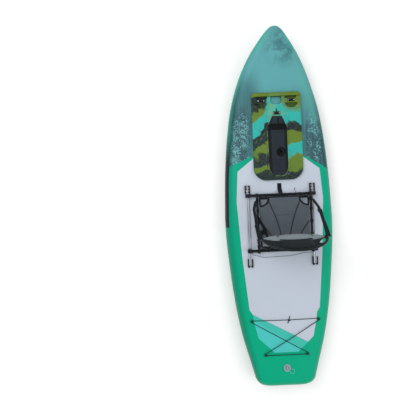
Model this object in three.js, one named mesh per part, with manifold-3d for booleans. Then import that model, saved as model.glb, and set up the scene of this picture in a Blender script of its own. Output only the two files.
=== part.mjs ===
// Inflatable pedal kayak with a framed seat on rails, a moulded drive pod and a plug in its well.
// Millimetres. +Y is the bow, +X is starboard, +Z is up. The origin lies under the middle of the hull.
import * as THREE from 'three';
import { mergeVertices } from 'three/addons/utils/BufferGeometryUtils.js';
import Module from 'manifold-3d';

// Fits shared by every piece
const restGap = 0.3; // between a piece and what it lies on or in
const slideGap = 0.5; // between a sliding piece and its track
const overrun = 4; // how far a cutter runs past the faces it cuts
const weld = 0.0001; // vertices closer than this are one

// Hull
const hullLength = 3265;
const hullWidth = 990;
const hullThickness = 200;
const noseRise = 150;
const noseRiseRun = 575;
const noseRisePower = 1.7;
const tailCornerRadius = 80;
const endFlat = 8; // half the height of the welded seam at nose and tail
const noseTipHalfWidth = 12;
const railFlatShare = 0.9;
const widestShare = 0.475; // the widest station, measured from the tail along the hull
// Half-widths as shares of the widest: nose ones by the square root of the distance from the nose
const noseOutlineShares = [
  [0, 0], [0.13, 0.126], [0.25, 0.268], [0.4, 0.5], [0.5, 0.648],
  [0.64, 0.814], [0.76, 0.907], [0.88, 0.967], [1, 1],
];
const tailOutlineShares = [
  [0, 1], [0.11, 0.993], [0.3, 0.947], [0.5, 0.877], [0.69, 0.773], [0.88, 0.617], [1, 0.52],
];

// Deck pads
const padThickness = 5;
const padSeam = 1.5; // joint between the pale pad and the mint one
const padLap = 200; // how far the pale pad runs forward beside the pod
const padTipWidth = 1.9475; // the pale pad's point beside the pod
// Pad edge aft of that point: share of the hull's half-width, then of the way to the pad's end
const padEdgeShares = [
  [0.781, 0.064], [0.8, 0.218], [0.765, 0.363], [0.754, 0.502], [0.738, 0.682],
  [0.743, 0.776], [0.69, 0.8], [0.686, 0.846], [0.653, 0.923], [0.311, 1],
];
const padNotchIndex = 7; // the pale pad's port edge ends here
const padKneeIndex = 9; // and its starboard edge ends a share past here
const padKneeShare = 0.36;

// Drive pod
const podWidth = 440;
const podNoseInset = 579.5; // from the hull's nose
const podThickness = 24;
const podFrontRadius = 25;
const podRearRadius = 110;
const podPadGap = 3;
const gasketThickness = 2;
const gasketInset = 6;
const lipHeight = 14;
const lipDepth = 22;
const lipInset = 14;
const lipPocketWidth = 104;
const lipPocketLength = 20;
const lipPocketDepth = 16;
const lipPocketX = 130;
const handHoldWidth = 98;
const handHoldLength = 72;
const handHoldRadius = 30;
const scoopWidth = 112;
const scoopLength = 46;
const scoopDepth = 13;
const scoopX = 136;
const scoopInset = 96;
const collarWidth = 10;
const collarHeight = 5;

// Well through pod and hull
const wellWidth = 88;
const wellLength = 480;
const wellRearInset = 76; // from the pod's rear edge
const wellFrontInset = 229;
const wellNoseLength = 70;
const wellNoseShare = 0.36;
const wellCornerRadius = 18;
const trunkWall = 5;
const trunkRaise = 2; // the trunk stops short of the hull's bottom

// Well plug
const plugRearLap = 37; // past the well
const plugFrontLap = 14;
const plugWidth = 170;
const plugFlange = 8;
const plugClearance = 1;
const plugBodyDepth = 150;
const plateWidth = 142;
const plateRise = 11;
// Along the plug, as shares of its length
const plateRearShare = 0.085;
const plateStepShare = 0.262;
const plateFrontShare = 0.763;
const noseBlockStartShare = 0.866;
const cupShare = 0.386;
const plateStep = 4;
const noseBlockRise = 14;
const noseBlockRearShare = 0.78;
const noseBlockFrontShare = 0.46;
const noseSlotX = 9;
const noseSlotWidth = 12;
const noseSlotLength = 48;
const noseSlotDepth = 16;
const cupRadius = 43;
const cupDepth = 17;
const cupX = 22;
const cupWellRadius = 27; // a deeper part of the cup, inside the plug's body
const cupWellDepth = 62;
const cupWellX = 12;
const sealWidth = 7;
const sealThickness = 2;
// Flange outline: half-width share, then the share of the way from its rear end to its tip
const plugOutlineShares = [
  [0.5, 0], [0.72, 0.034], [0.93, 0.097], [1, 0.17], [1, 0.829],
  [0.86, 0.866], [0.72, 0.928], [0.58, 0.975], [0.5, 1],
];

// Pad eyes on the pod
const eyeLength = 64;
const eyeWidth = 26;
const eyeBase = 5;
const eyeArch = 15;
const eyeHoleWidth = 24;
const eyeHoleHeight = 9;
const eyeBarDepth = 11;
const eyeScrewSpacing = 50;
const eyeScrewRadius = 3.6;
const eyeScrewHead = 2;
const eyeSideX = 135;
const eyeSideInset = 74; // from the pod's front edge
const eyeCentreGap = 28; // from the plug's tip
const eyeTongueWidth = 18;
const eyeTongueLength = 45; // the centre one ends in a tongue that points to the bow

// Deck rails and their stops
const railX = 292;
const railWidth = 26;
const railHeight = 14;
const railSlotWidth = 9;
const railSlotDepth = 8;
const railFrontReach = 81; // past the front bar
const railRearReach = 136; // past the rear bar
const stopWidth = 46;
const stopHeight = 19;
const stopWall = 10;
const stopLength = 74;
const stopBridge = 11;
const stopBridgeShares = [0.34, 0.86];
const stopScrewRadius = 4;
const stopScrewHead = 2.5;

// Seat carriage
const seatSetback = 135; // from the pod to the front bar
const barSpacing = 497;
const barRadius = 12.5;
const barWall = 1.6;
const sliderLength = 32;
const sliderWidth = 38;
const sliderRoof = 4;
const sliderCrown = 5;
const barEndInset = 8; // the bars stop this far short of the rail's middle
const seatOffsetX = 23; // the clamps can be set anywhere along the bars
const seatTubeX = 238;
const seatTubeRadius = 11;
const seatTubeWall = 1.6;
const seatTubeOverhang = 14;
const clampHeight = 6; // bar to side tube
const clampLength = 34;
const clampWidth = 22;
const lockPinRadius = 3;
const lockPinClearance = 0.4;
const lockKnobRadius = 7;
const lockKnobHeight = 9;
const lockPinReach = 6; // into the rail's slot

// Seat panel
const seatPanelThickness = 9;
const seatPanelCrown = 7;
const seatPanelFrontGap = 6;
const seatPanelRearInset = 22;
const seamDepth = 3;
const seamCurve = 1.4;
const innerSeamColumnShare = 0.4;
const outerSeamColumnShare = 0.7;
const innerSeamFrontShare = 0.52;
const innerSeamRearShare = 0.13;
const outerSeamStartShare = 0.5;
const outerSeamRearShare = 0.36;
const outerSeamFrontShare = 0.93;
const seamSpreadShare = 0.12;
const crownPower = 2.5;
const cornerHoleWidth = 78;
const cornerHoleLength = 68;
const cornerBinding = 12;

// Backrest
const pivotInset = 93; // from the rear bar
const pivotLift = 36; // above the side tube's axis
const backCornerX = 262; // the tube spreads from the pivots to its corners
const backFlareStart = 40;
const backFlareEnd = 245;
const backTubeRadius = 10;
const backTubeWall = 1.5;
const backLowerLean = -11; // degrees from upright, aft is positive
const backUpperLean = 31;
const backBendStart = 245;
const backBendEnd = 325;
const backLength = 442;
const backArchStart = 270;
const backPanelStart = 34;
const backPanelEnd = 322;
const backPanelThickness = 10;
const backPanelCrown = 12;
const backPanelScoopStart = 258;
const sleeveHalfWidth = 130;
const sleeveThickness = 28;
const sleeveReach = 14; // past the tube's axis
const sleeveEdgeShare = 0.12; // how round its edges are
const hingeEarThickness = 5;
const hingeEarWidth = 34;
const hingeEarMargin = 15;
const backTubeTail = 14; // the tube runs on past its pivot
const hingePinRadius = 4;
const hingePinHead = 7;
const hingePinHeadLength = 3;
const hingePinClearance = 0.4;

// Straps
const strapWidth = 25;
const strapThickness = 2;
const strapSpread = 8; // the strap bows out past the backrest's tube, so the tube can fold between the straps
const strapSpreadShares = [0.24, 0.8];
const strapFootInset = 47; // from the front bar
const buckleLength = 42;
const buckleWidth = 36;
const buckleThickness = 9;
const buckleShares = { left: 0.7, right: 0.36 };
const frontStrapWidth = 38;
const frontStrapThickness = 2.4;
const frontPatchLength = 46;
const frontPatchWidth = 64;
const frontPatchThickness = 2;
const frontPatchInset = 81; // from the front bar

// Release cord, from the port pin to the starboard pin: across, aft of the rear bar, above the pad
const releaseCordRadius = 1.5;
const releaseCordRoute = [
  [-284.6, 5.2, 53.7], [-277, 19, 52.7], [-266, 30, 50.7], [-250, 36, 42.7], [-236, 40, 30.7],
  [-222, 46, 17.7], [-204, 54, 7.7], [-180, 62, 3.2], [-150, 65, 2.5], [-110, 64, 2.5],
  [-60, 62, 2.5], [-10, 61, 2.5], [40, 60, 2.5], [90, 56, 2.5], [135, 49, 2.5],
  [172, 41, 3.7], [205, 35, 10.7], [232, 32, 23.7], [252, 30, 37.7], [266, 26, 48.7],
  [277, 19, 52.7], [284.6, 5.2, 53.7],
];

// Stern bungee
const bungeeRadius = 3;
const bungeeFrontShare = 0.737; // of the hull's half-width
const bungeeRearShare = 0.557;
// Along the free deck from the rails to the tail, as shares of it
const bungeeFrontPlaceShare = 0.4433;
const bungeeRearPlaceShare = 0.7197;
const padEndPlaceShare = 0.7012;
const valvePlaceShare = 0.8274;
const crossingShares = [0.3, 0.5, 0.7];
const crossingShoulderShare = 0.7;
const bungeeLift = 9; // cord axis above the deck
const bungeeCross = 7; // how much higher the upper run is where the runs cross
const anchorRadius = 17;
const anchorThickness = 2.5;
const anchorLoopHeight = 18;
const anchorLoopLength = 24;
const anchorLoopBar = 4;
const anchorLoopThickness = 4.5;
const cordLockX = 32;
const cordLockLength = 20;
const cordLockWidth = 13;
const cordLockHeight = 15;

// Inflation valve
const valveFlangeRadius = 33;
const valveFlangeHeight = 4;
const valveBodyRadius = 24;
const valveBodyDepth = 38;
const valveWall = 3;
const valveFloor = 4;
const valveLedgeRadius = 17;
const valveHoleRadius = 2;
const valveHoleCircle = 8;
const valveHoles = 4;
const valveCapRadius = 19.5;
const valveCapHeight = 8;
const valveCapRise = 3;
const valveGripShare = 0.8; // of the cap's width
const valveGripWidth = 7;
const valveGripHeight = 5;
const stemRadius = 4;
const stemClearance = 0.4;
const stemHeadRadius = 7;
const stemHeadHeight = 3;
const stemLength = 24;
const stemFootRadius = 12;
const stemFootHeight = 3;
const stemTravel = 5;
const springRadius = 6;
const springWire = 1.2;
const springTurns = 5;
const tetherRadius = 1.3;
const tetherLoop = 21;
const tetherSweepShare = 0.86; // of a full loop, each way from its far end
const tetherTurnShare = -0.2;

// Heights and places that follow from those sizes
const deckTop = hullThickness;
const padTop = deckTop + restGap + padThickness;
const bow = hullLength / 2;
const halfWidth = hullWidth / 2;
const podBottom = deckTop + restGap + gasketThickness + restGap;
const podTop = podBottom + podThickness;
const podLength = wellRearInset + wellLength + wellFrontInset;
const podFrontY = bow - podNoseInset;
const podRearY = podFrontY - podLength;
const scoopFrontY = podFrontY - scoopInset;
const wellRearY = podRearY + wellRearInset;
const plugRearY = wellRearY - plugRearLap;
const plugLength = plugRearLap + wellLength + plugFrontLap;
const plateRearY = plugRearY + plateRearShare * plugLength;
const plateStepY = plugRearY + plateStepShare * plugLength;
const plateFrontY = plugRearY + plateFrontShare * plugLength;
const noseBlockRearY = plugRearY + noseBlockStartShare * plugLength;
const cupY = plugRearY + cupShare * plugLength;
const eyeSideY = podFrontY - eyeSideInset;
const eyeCentreY = plugRearY + plugLength + eyeCentreGap;
const padTopY = podRearY + padLap;
const flangeBottom = podTop + collarHeight - plugFlange;
const railBottom = padTop + restGap;
const railTop = railBottom + railHeight;
const barZ = railTop + slideGap + sliderRoof + barRadius + restGap;
const sliderTop = barZ + barRadius + sliderCrown;
const frontBarY = podRearY - seatSetback;
const rearBarY = frontBarY - barSpacing;
const railFrontY = frontBarY + railFrontReach;
const railRearY = rearBarY - railRearReach;
const pivotY = rearBarY + pivotInset;
const strapFootY = frontBarY - strapFootInset;
const strapStandOff = restGap + strapThickness / 2; // from the tube to the middle of the strap
const frontPatchY = frontBarY + frontPatchInset;
const freeDeck = railRearY + bow;
const padEndY = railRearY - padEndPlaceShare * freeDeck;
const bungeeFrontY = railRearY - bungeeFrontPlaceShare * freeDeck;
const bungeeRearY = railRearY - bungeeRearPlaceShare * freeDeck;
const valveY = railRearY - valvePlaceShare * freeDeck;
const seatTubeZ = barZ + barRadius + clampHeight + seatTubeRadius;
const pivotZ = seatTubeZ + pivotLift;
const sides = [['left', -1], ['right', 1]];
const ends = [['front', frontBarY], ['rear', rearBarY]];

// Round work: sides of a tube and steps of an arc
const tubeSides = 12;
const cordSides = 8;
const arcSteps = 8;
const discSides = 32;

const wasm = await Module();
wasm.setup();
const kayak = new THREE.Group();

// Finishes
function finish(color, roughness, metalness = 0) {
  return new THREE.MeshStandardMaterial({ color, roughness, metalness });
}

const finishes = {
  hullSkin: finish(0x4b9c98, 0.45),
  palePad: finish(0xc6cede, 0.85),
  mintPad: finish(0x4cc4ba, 0.85),
  podSwirl: finish(0x5f9a54, 0.5),
  rubber: finish(0x202428, 0.8),
  blackPlastic: finish(0x2a3138, 0.5),
  blackTube: finish(0x22272c, 0.35, 0.6),
  rail: finish(0x9aa3ad, 0.35, 0.9),
  steel: finish(0xb9bec4, 0.3, 1),
  seatFabric: finish(0x535e66, 0.9),
  webbing: finish(0x1d2227, 0.85),
  cord: finish(0x15242a, 0.8),
  valvePlastic: finish(0x96a0a6, 0.5),
  tetherCord: finish(0xd8e6e2, 0.7),
};

function add(name, geometry, material) {
  const mesh = new THREE.Mesh(geometry, material);
  mesh.name = name;
  kayak.add(mesh);
}

// Solids and how they are joined and cut
function solidOf(geometry) {
  const bare = geometry.clone();
  bare.deleteAttribute('normal');
  bare.deleteAttribute('uv');
  const merged = mergeVertices(bare, weld);
  return new wasm.Manifold(new wasm.Mesh({
    numProp: 3,
    vertProperties: Float32Array.from(merged.attributes.position.array),
    triVerts: Uint32Array.from(merged.index.array),
  }));
}

function geometryOf(solid) {
  const { vertProperties, triVerts } = solid.getMesh();
  const geometry = new THREE.BufferGeometry();
  geometry.setAttribute('position', new THREE.BufferAttribute(vertProperties, 3));
  geometry.setIndex(new THREE.BufferAttribute(triVerts, 1));
  return geometry;
}

function joined(...geometries) {
  return geometryOf(geometries.map(solidOf).reduce((whole, solid) => whole.add(solid)));
}

function cut(geometry, ...cutters) {
  return geometryOf(cutters.map(solidOf).reduce((whole, solid) => whole.subtract(solid), solidOf(geometry)));
}

// Plain shapes
function prism(shape, bottom, top, curveSegments = arcSteps) {
  const options = { depth: top - bottom, bevelEnabled: false, curveSegments };
  return new THREE.ExtrudeGeometry(shape, options).translate(0, 0, bottom);
}

function block(x, y, width, length, bottom, top) {
  const middle = (bottom + top) / 2;
  return new THREE.BoxGeometry(width, length, top - bottom).translate(x, y, middle);
}

function disc(x, y, radius, bottom, top, segments = discSides) {
  const upright = new THREE.CylinderGeometry(radius, radius, top - bottom, segments);
  return upright.rotateX(Math.PI / 2).translate(x, y, (bottom + top) / 2);
}

function rodAcross(radius, fromX, toX, y, z, segments = tubeSides) {
  const upright = new THREE.CylinderGeometry(radius, radius, toX - fromX, segments);
  return upright.rotateZ(Math.PI / 2).translate((fromX + toX) / 2, y, z);
}

function rodAlong(radius, fromY, toY, x, z, segments = tubeSides) {
  return new THREE.CylinderGeometry(radius, radius, toY - fromY, segments).translate(x, (fromY + toY) / 2, z);
}

function outline(points) {
  return new THREE.Shape(points.map(([x, y]) => new THREE.Vector2(x, y)));
}

// A rectangle from (left, rear) to (right, front) with one radius at its rear and one at its front
function roundedRectangle(left, right, rear, front, rearRadius, frontRadius) {
  const shape = new THREE.Shape();
  shape.moveTo(left + rearRadius, rear);
  shape.lineTo(right - rearRadius, rear);
  shape.absarc(right - rearRadius, rear + rearRadius, rearRadius, -Math.PI / 2, 0);
  shape.lineTo(right, front - frontRadius);
  shape.absarc(right - frontRadius, front - frontRadius, frontRadius, 0, Math.PI / 2);
  shape.lineTo(left + frontRadius, front);
  shape.absarc(left + frontRadius, front - frontRadius, frontRadius, Math.PI / 2, Math.PI);
  shape.lineTo(left, rear + rearRadius);
  shape.absarc(left + rearRadius, rear + rearRadius, rearRadius, Math.PI, Math.PI * 1.5);
  return shape;
}

function ring(radius, segments) {
  const points = [];
  for (let i = 0; i < segments; i += 1) {
    const turn = (i / segments) * Math.PI * 2;
    points.push(new THREE.Vector2(radius * Math.cos(turn), radius * Math.sin(turn)));
  }
  return points;
}

// A tube along a curve: hollow and open at its ends where a wall is given
function tubeAlong(curve, radius, steps, segments = tubeSides, wall = 0) {
  const section = new THREE.Shape(ring(radius, segments));
  if (wall > 0) {
    section.holes.push(new THREE.Path(ring(radius - wall, segments).reverse()));
  }
  return new THREE.ExtrudeGeometry(section, { steps, bevelEnabled: false, extrudePath: curve });
}

function vectors(route) {
  return route.map(([x, y, z]) => new THREE.Vector3(x, y, z));
}

// A smooth line through a table of [place, value] pairs
function alongTable(table, place) {
  const last = table.length - 1;
  let i = 0;
  while (i < last - 1 && table[i + 1][0] < place) {
    i += 1;
  }
  const slope = (k) => {
    const before = table[Math.max(k - 1, 0)];
    const after = table[Math.min(k + 1, last)];
    return (after[1] - before[1]) / (after[0] - before[0]);
  };
  const span = table[i + 1][0] - table[i][0];
  const t = THREE.MathUtils.clamp((place - table[i][0]) / span, 0, 1);
  const rise = table[i + 1][1] - table[i][1];
  const startBend = slope(i) * span - rise;
  const endBend = rise - slope(i + 1) * span;
  return table[i][1] + rise * t + t * (1 - t) * (startBend * (1 - t) + endBend * t);
}

// A closed skin over two grids of points, a front one and a back one, with rows and columns alike
function paddedSheet(columns, rows, frontPoint, backPoint) {
  const positions = [];
  const indices = [];
  const across = columns + 1;
  const count = across * (rows + 1);
  for (const pointAt of [frontPoint, backPoint]) {
    for (let row = 0; row <= rows; row += 1) {
      for (let column = 0; column <= columns; column += 1) {
        positions.push(...pointAt(column / columns, row / rows));
      }
    }
  }
  const quad = (a, b, c, d) => indices.push(a, b, c, a, c, d);
  for (let row = 0; row < rows; row += 1) {
    for (let column = 0; column < columns; column += 1) {
      const a = row * across + column;
      quad(a, a + 1, a + 1 + across, a + across);
      quad(count + a, count + a + across, count + a + 1 + across, count + a + 1);
    }
  }
  for (let column = 0; column < columns; column += 1) {
    const top = rows * across + column;
    quad(column, count + column, count + column + 1, column + 1);
    quad(top, top + 1, count + top + 1, count + top);
  }
  for (let row = 0; row < rows; row += 1) {
    const left = row * across;
    const right = left + columns;
    quad(left, left + across, count + left + across, count + left);
    quad(right, count + right, count + right + across, right + across);
  }
  const geometry = new THREE.BufferGeometry();
  geometry.setAttribute('position', new THREE.Float32BufferAttribute(positions, 3));
  geometry.setIndex(indices);
  return geometry;
}

// Hull: a lofted board, thick and flat, with half-round side rails
function hullHalfWidth(y) {
  const widestY = widestShare * hullLength - bow;
  if (y >= widestY) {
    return halfWidth * alongTable(noseOutlineShares, Math.sqrt((bow - y) / (bow - widestY)));
  }
  const fromTail = y + bow;
  const reach = Math.max(tailCornerRadius - fromTail, 0);
  const corner = tailCornerRadius - Math.sqrt(tailCornerRadius ** 2 - reach ** 2);
  return halfWidth * alongTable(tailOutlineShares, (widestY - y) / (widestY + bow)) - corner;
}

function hullLift(y) {
  const run = Math.max(y - (bow - noseRiseRun), 0) / noseRiseRun;
  return noseRise * run ** noseRisePower;
}

function hullHalfThickness(y) {
  const round = hullThickness / 2;
  const reach = Math.max(round - Math.min(bow - y, bow + y), 0);
  return Math.max(Math.sqrt(round ** 2 - reach ** 2), endFlat);
}

function hullStations() {
  const round = hullThickness / 2;
  const stations = [];
  const endSteps = 6;
  const tailSteps = 9;
  const noseSteps = 22;
  for (let i = 0; i < endSteps; i += 1) {
    stations.push(round * (1 - Math.cos((i / endSteps) * (Math.PI / 2))) - bow);
  }
  const middle = 0;
  for (let i = 0; i < tailSteps; i += 1) {
    stations.push(round - bow + (i / tailSteps) * (middle - round + bow));
  }
  for (let i = noseSteps; i > 0; i -= 1) {
    stations.push(bow - (bow - middle) * (i / noseSteps) ** 2);
  }
  stations.push(bow);
  return stations;
}

function hullRing(y) {
  const width = Math.max(hullHalfWidth(y), noseTipHalfWidth);
  const height = hullHalfThickness(y);
  const middle = hullThickness / 2 + hullLift(y);
  const edge = Math.min(hullThickness / 2, railFlatShare * width);
  const points = [];
  for (const side of [1, -1]) {
    for (let i = 0; i <= arcSteps; i += 1) {
      const angle = side * (i / arcSteps - 1 / 2) * Math.PI;
      points.push([side * (width - edge + edge * Math.cos(angle)), y, middle + height * Math.sin(angle)]);
    }
  }
  return points;
}

function hullBoard() {
  const rings = hullStations().map(hullRing);
  const around = rings[0].length;
  const indices = [];
  for (let r = 0; r < rings.length - 1; r += 1) {
    for (let i = 0; i < around; i += 1) {
      const a = r * around + i;
      const b = r * around + ((i + 1) % around);
      indices.push(a, b + around, b, a, a + around, b + around);
    }
  }
  const last = (rings.length - 1) * around;
  for (let i = 1; i < around - 1; i += 1) {
    indices.push(0, i, i + 1, last, last + i + 1, last + i);
  }
  const geometry = new THREE.BufferGeometry();
  geometry.setAttribute('position', new THREE.Float32BufferAttribute(rings.flat(2), 3));
  geometry.setIndex(indices);
  return geometry;
}

// The well's outline, a rounded slot whose front narrows, grown by a margin all round
function wellOutline(margin) {
  const half = wellWidth / 2 + margin;
  const rear = wellRearY - margin;
  const front = wellRearY + wellLength + margin;
  const shoulder = front - wellNoseLength;
  const tip = half * wellNoseShare;
  const radius = wellCornerRadius + margin;
  const shape = new THREE.Shape();
  shape.moveTo(-half + radius, rear);
  shape.lineTo(half - radius, rear);
  shape.absarc(half - radius, rear + radius, radius, -Math.PI / 2, 0);
  shape.lineTo(half, shoulder);
  shape.lineTo(tip, front);
  shape.lineTo(-tip, front);
  shape.lineTo(-half, shoulder);
  shape.lineTo(-half, rear + radius);
  shape.absarc(-half + radius, rear + radius, radius, Math.PI, Math.PI * 1.5);
  return shape;
}

function makeHull() {
  const well = prism(wellOutline(trunkWall + restGap), -overrun, deckTop + overrun);
  const valveBore = disc(0, valveY, valveBodyRadius + restGap, deckTop - valveBodyDepth - stemTravel - overrun,
    deckTop + overrun);
  add('hull_chamber', cut(hullBoard(), well, valveBore), finishes.hullSkin);
}

// Deck pads: one pale sheet that wraps the pod's rear, one mint inlay behind a slanted joint
function padEdge(side) {
  const tip = [side * (podWidth / 2 + podPadGap + padTipWidth), padTopY];
  const run = padEdgeShares.map(([across, along]) => {
    const y = padTopY + along * (padEndY - padTopY);
    return [side * across * hullHalfWidth(y), y];
  });
  return [tip, ...run];
}

function makePads() {
  const port = padEdge(-1);
  const starboard = padEdge(1);
  const knee = starboard[padKneeIndex];
  const tailEnd = starboard[padKneeIndex + 1];
  const kneeX = knee[0] + padKneeShare * (tailEnd[0] - knee[0]);
  const kneeY = knee[1] + padKneeShare * (tailEnd[1] - knee[1]);
  const jointPort = port[padNotchIndex];
  const jointStarboard = [kneeX, kneeY];
  const bottom = deckTop + restGap;
  const podEdge = podWidth / 2 + podPadGap;
  const podEdgeRear = podRearY - podPadGap;
  const corner = podRearRadius + podPadGap;
  const pale = new THREE.Shape();
  const [startX, startY] = port[0];
  pale.moveTo(startX, startY);
  for (const [x, y] of port.slice(1, padNotchIndex + 1)) {
    pale.lineTo(x, y);
  }
  pale.lineTo(...jointStarboard);
  for (const [x, y] of starboard.slice(0, padKneeIndex + 1).reverse()) {
    pale.lineTo(x, y);
  }
  pale.lineTo(podEdge, padTopY);
  pale.lineTo(podEdge, podEdgeRear + corner);
  pale.absarc(podEdge - corner, podEdgeRear + corner, corner, 0, -Math.PI / 2, true);
  pale.lineTo(-podEdge + corner, podEdgeRear);
  pale.absarc(-podEdge + corner, podEdgeRear + corner, corner, -Math.PI / 2, -Math.PI, true);
  pale.lineTo(-podEdge, padTopY);
  add('main_deck_pad', prism(pale, bottom, padTop), finishes.palePad);

  const mint = outline([
    [jointPort[0], jointPort[1] - padSeam],
    ...port.slice(padNotchIndex + 1),
    ...starboard.slice(padKneeIndex + 1).reverse(),
    [kneeX, kneeY - padSeam],
  ]);
  add('stern_deck_pad', prism(mint, bottom, padTop), finishes.mintPad);
}

// Pod: a moulded plate with a lip, pockets, a hand hold, a collar round the plug and a trunk down the well
function plugOutline(margin) {
  const half = plugWidth / 2 + margin;
  const rear = plugRearY - margin;
  const length = plugLength + 2 * margin;
  const starboard = plugOutlineShares.map(([across, along]) => [across * half, rear + along * length]);
  const port = starboard.map(([x, y]) => [-x, y]).reverse();
  return outline([...starboard, ...port]);
}

function makePod() {
  const half = podWidth / 2;
  const edges = [podRearRadius, podFrontRadius];
  const plate = prism(roundedRectangle(-half, half, podRearY, podFrontY, ...edges), podBottom, podTop);
  const lipRear = podFrontY - lipInset - lipDepth;
  const lip = block(0, lipRear + lipDepth / 2, podWidth - 2 * lipInset, lipDepth, podTop - overrun,
    podTop + lipHeight);
  const collar = prism(plugOutline(collarWidth), podTop - overrun, podTop + collarHeight);
  const trunk = prism(wellOutline(trunkWall), trunkRaise, podBottom + overrun);
  const pockets = [-1, 1].map((side) => block(side * lipPocketX, lipRear - lipPocketLength / 2, lipPocketWidth,
    lipPocketLength, podTop - lipPocketDepth, podTop + overrun));
  const scoops = [-1, 1].map((side) => {
    const shape = new THREE.Shape();
    shape.moveTo(side * scoopX - scoopWidth / 2, scoopFrontY);
    shape.absellipse(side * scoopX, scoopFrontY, scoopWidth / 2, scoopLength, Math.PI, Math.PI * 2);
    return prism(shape, podTop - scoopDepth, podTop + overrun);
  });
  const holdFront = lipRear;
  const holdRear = holdFront - handHoldLength;
  const holdShape = roundedRectangle(-handHoldWidth / 2, handHoldWidth / 2, holdRear, holdFront, handHoldRadius,
    overrun);
  const handHold = prism(holdShape, podBottom - overrun, podTop + overrun);
  const flangeSeat = prism(plugOutline(plugClearance), flangeBottom - sealThickness - 2 * restGap,
    podTop + collarHeight + overrun);
  const well = prism(wellOutline(0), trunkRaise - overrun, podTop + overrun);
  const body = joined(plate, lip, collar, trunk);
  add('drive_pod', cut(body, ...pockets, ...scoops, handHold, flangeSeat, well), finishes.podSwirl);

  const gasketEdges = edges.map((radius) => Math.max(radius - gasketInset, gasketInset));
  const gasketHalf = half - gasketInset;
  const gasketPlate = prism(roundedRectangle(-gasketHalf, gasketHalf, podRearY + gasketInset,
    podFrontY - gasketInset, ...gasketEdges), deckTop + restGap, deckTop + restGap + gasketThickness);
  const gasketWell = prism(wellOutline(trunkWall + restGap), deckTop - overrun, podBottom + overrun);
  const gasketHold = prism(holdShape, deckTop - overrun, podBottom + overrun);
  add('pod_gasket', cut(gasketPlate, gasketWell, gasketHold), finishes.rubber);
}

// Pad eyes: a base with a low arch over it, and the heads of the two screws that hold it
function makeEyes() {
  const places = [['left', -eyeSideX, eyeSideY], ['right', eyeSideX, eyeSideY], ['centre', 0, eyeCentreY]];
  const bottom = podTop + restGap;
  for (const [name, x, y] of places) {
    const base = block(x, y, eyeLength, eyeWidth, bottom, bottom + eyeBase);
    const arch = block(x, y, eyeHoleWidth + 2 * eyeBase, eyeBarDepth, bottom, bottom + eyeArch);
    const hole = block(x, y, eyeHoleWidth, eyeWidth + 2 * overrun, bottom + eyeArch - eyeBase - eyeHoleHeight,
      bottom + eyeArch - eyeBase);
    const extras = [-1, 1].map((side) => disc(x + side * (eyeScrewSpacing / 2), y, eyeScrewRadius, bottom,
      bottom + eyeBase + eyeScrewHead, tubeSides));
    if (name === 'centre') {
      const tongue = outline([[-eyeTongueWidth / 2, y], [eyeTongueWidth / 2, y], [0, y + eyeTongueLength]]);
      extras.push(prism(tongue, bottom, bottom + eyeBase));
    }
    add(`pod_eye_${name}`, cut(joined(base, arch, ...extras), hole), finishes.blackPlastic);
  }
}

// Plug: a flange that lies on its seal, a raised plate with a cup, a nose block and a hollow body in the well
function makePlug() {
  const top = flangeBottom + plugFlange;
  const flange = prism(plugOutline(0), flangeBottom, top);
  const plateHalf = plateWidth / 2;
  const plate = block(0, (plateStepY + plateFrontY) / 2, plateWidth, plateFrontY - plateStepY, top - overrun,
    top + plateRise);
  const lowPlate = block(0, (plateRearY + plateStepY) / 2, plateWidth, plateStepY - plateRearY + overrun,
    top - overrun, top + plateRise - plateStep);
  const noseFrontY = plugRearY + plugLength - overrun;
  const nose = outline([
    [-plateHalf * noseBlockRearShare, noseBlockRearY],
    [plateHalf * noseBlockRearShare, noseBlockRearY],
    [plateHalf * noseBlockFrontShare, noseFrontY],
    [-plateHalf * noseBlockFrontShare, noseFrontY],
  ]);
  const noseBlock = prism(nose, top - overrun, top + noseBlockRise);
  const body = prism(wellOutline(-plugClearance), flangeBottom - plugBodyDepth, flangeBottom + overrun);
  const cup = disc(cupX, cupY, cupRadius, top + plateRise - cupDepth, top + plateRise + overrun);
  const cupWell = disc(cupWellX, cupY, cupWellRadius, top + plateRise - cupWellDepth, top + plateRise);
  const slot = block(noseSlotX, noseBlockRearY + noseSlotLength / 2 + overrun, noseSlotWidth, noseSlotLength,
    top + noseBlockRise - noseSlotDepth, top + noseBlockRise + overrun);
  const plug = cut(joined(flange, plate, lowPlate, noseBlock, body), cup, cupWell, slot);
  add('well_plug', plug, finishes.blackPlastic);

  const sealBottom = flangeBottom - restGap - sealThickness;
  const seal = cut(
    prism(wellOutline(sealWidth + plugClearance), sealBottom, sealBottom + sealThickness),
    prism(wellOutline(plugClearance), sealBottom - overrun, flangeBottom + overrun),
  );
  add('plug_seal', seal, finishes.rubber);
}

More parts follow.
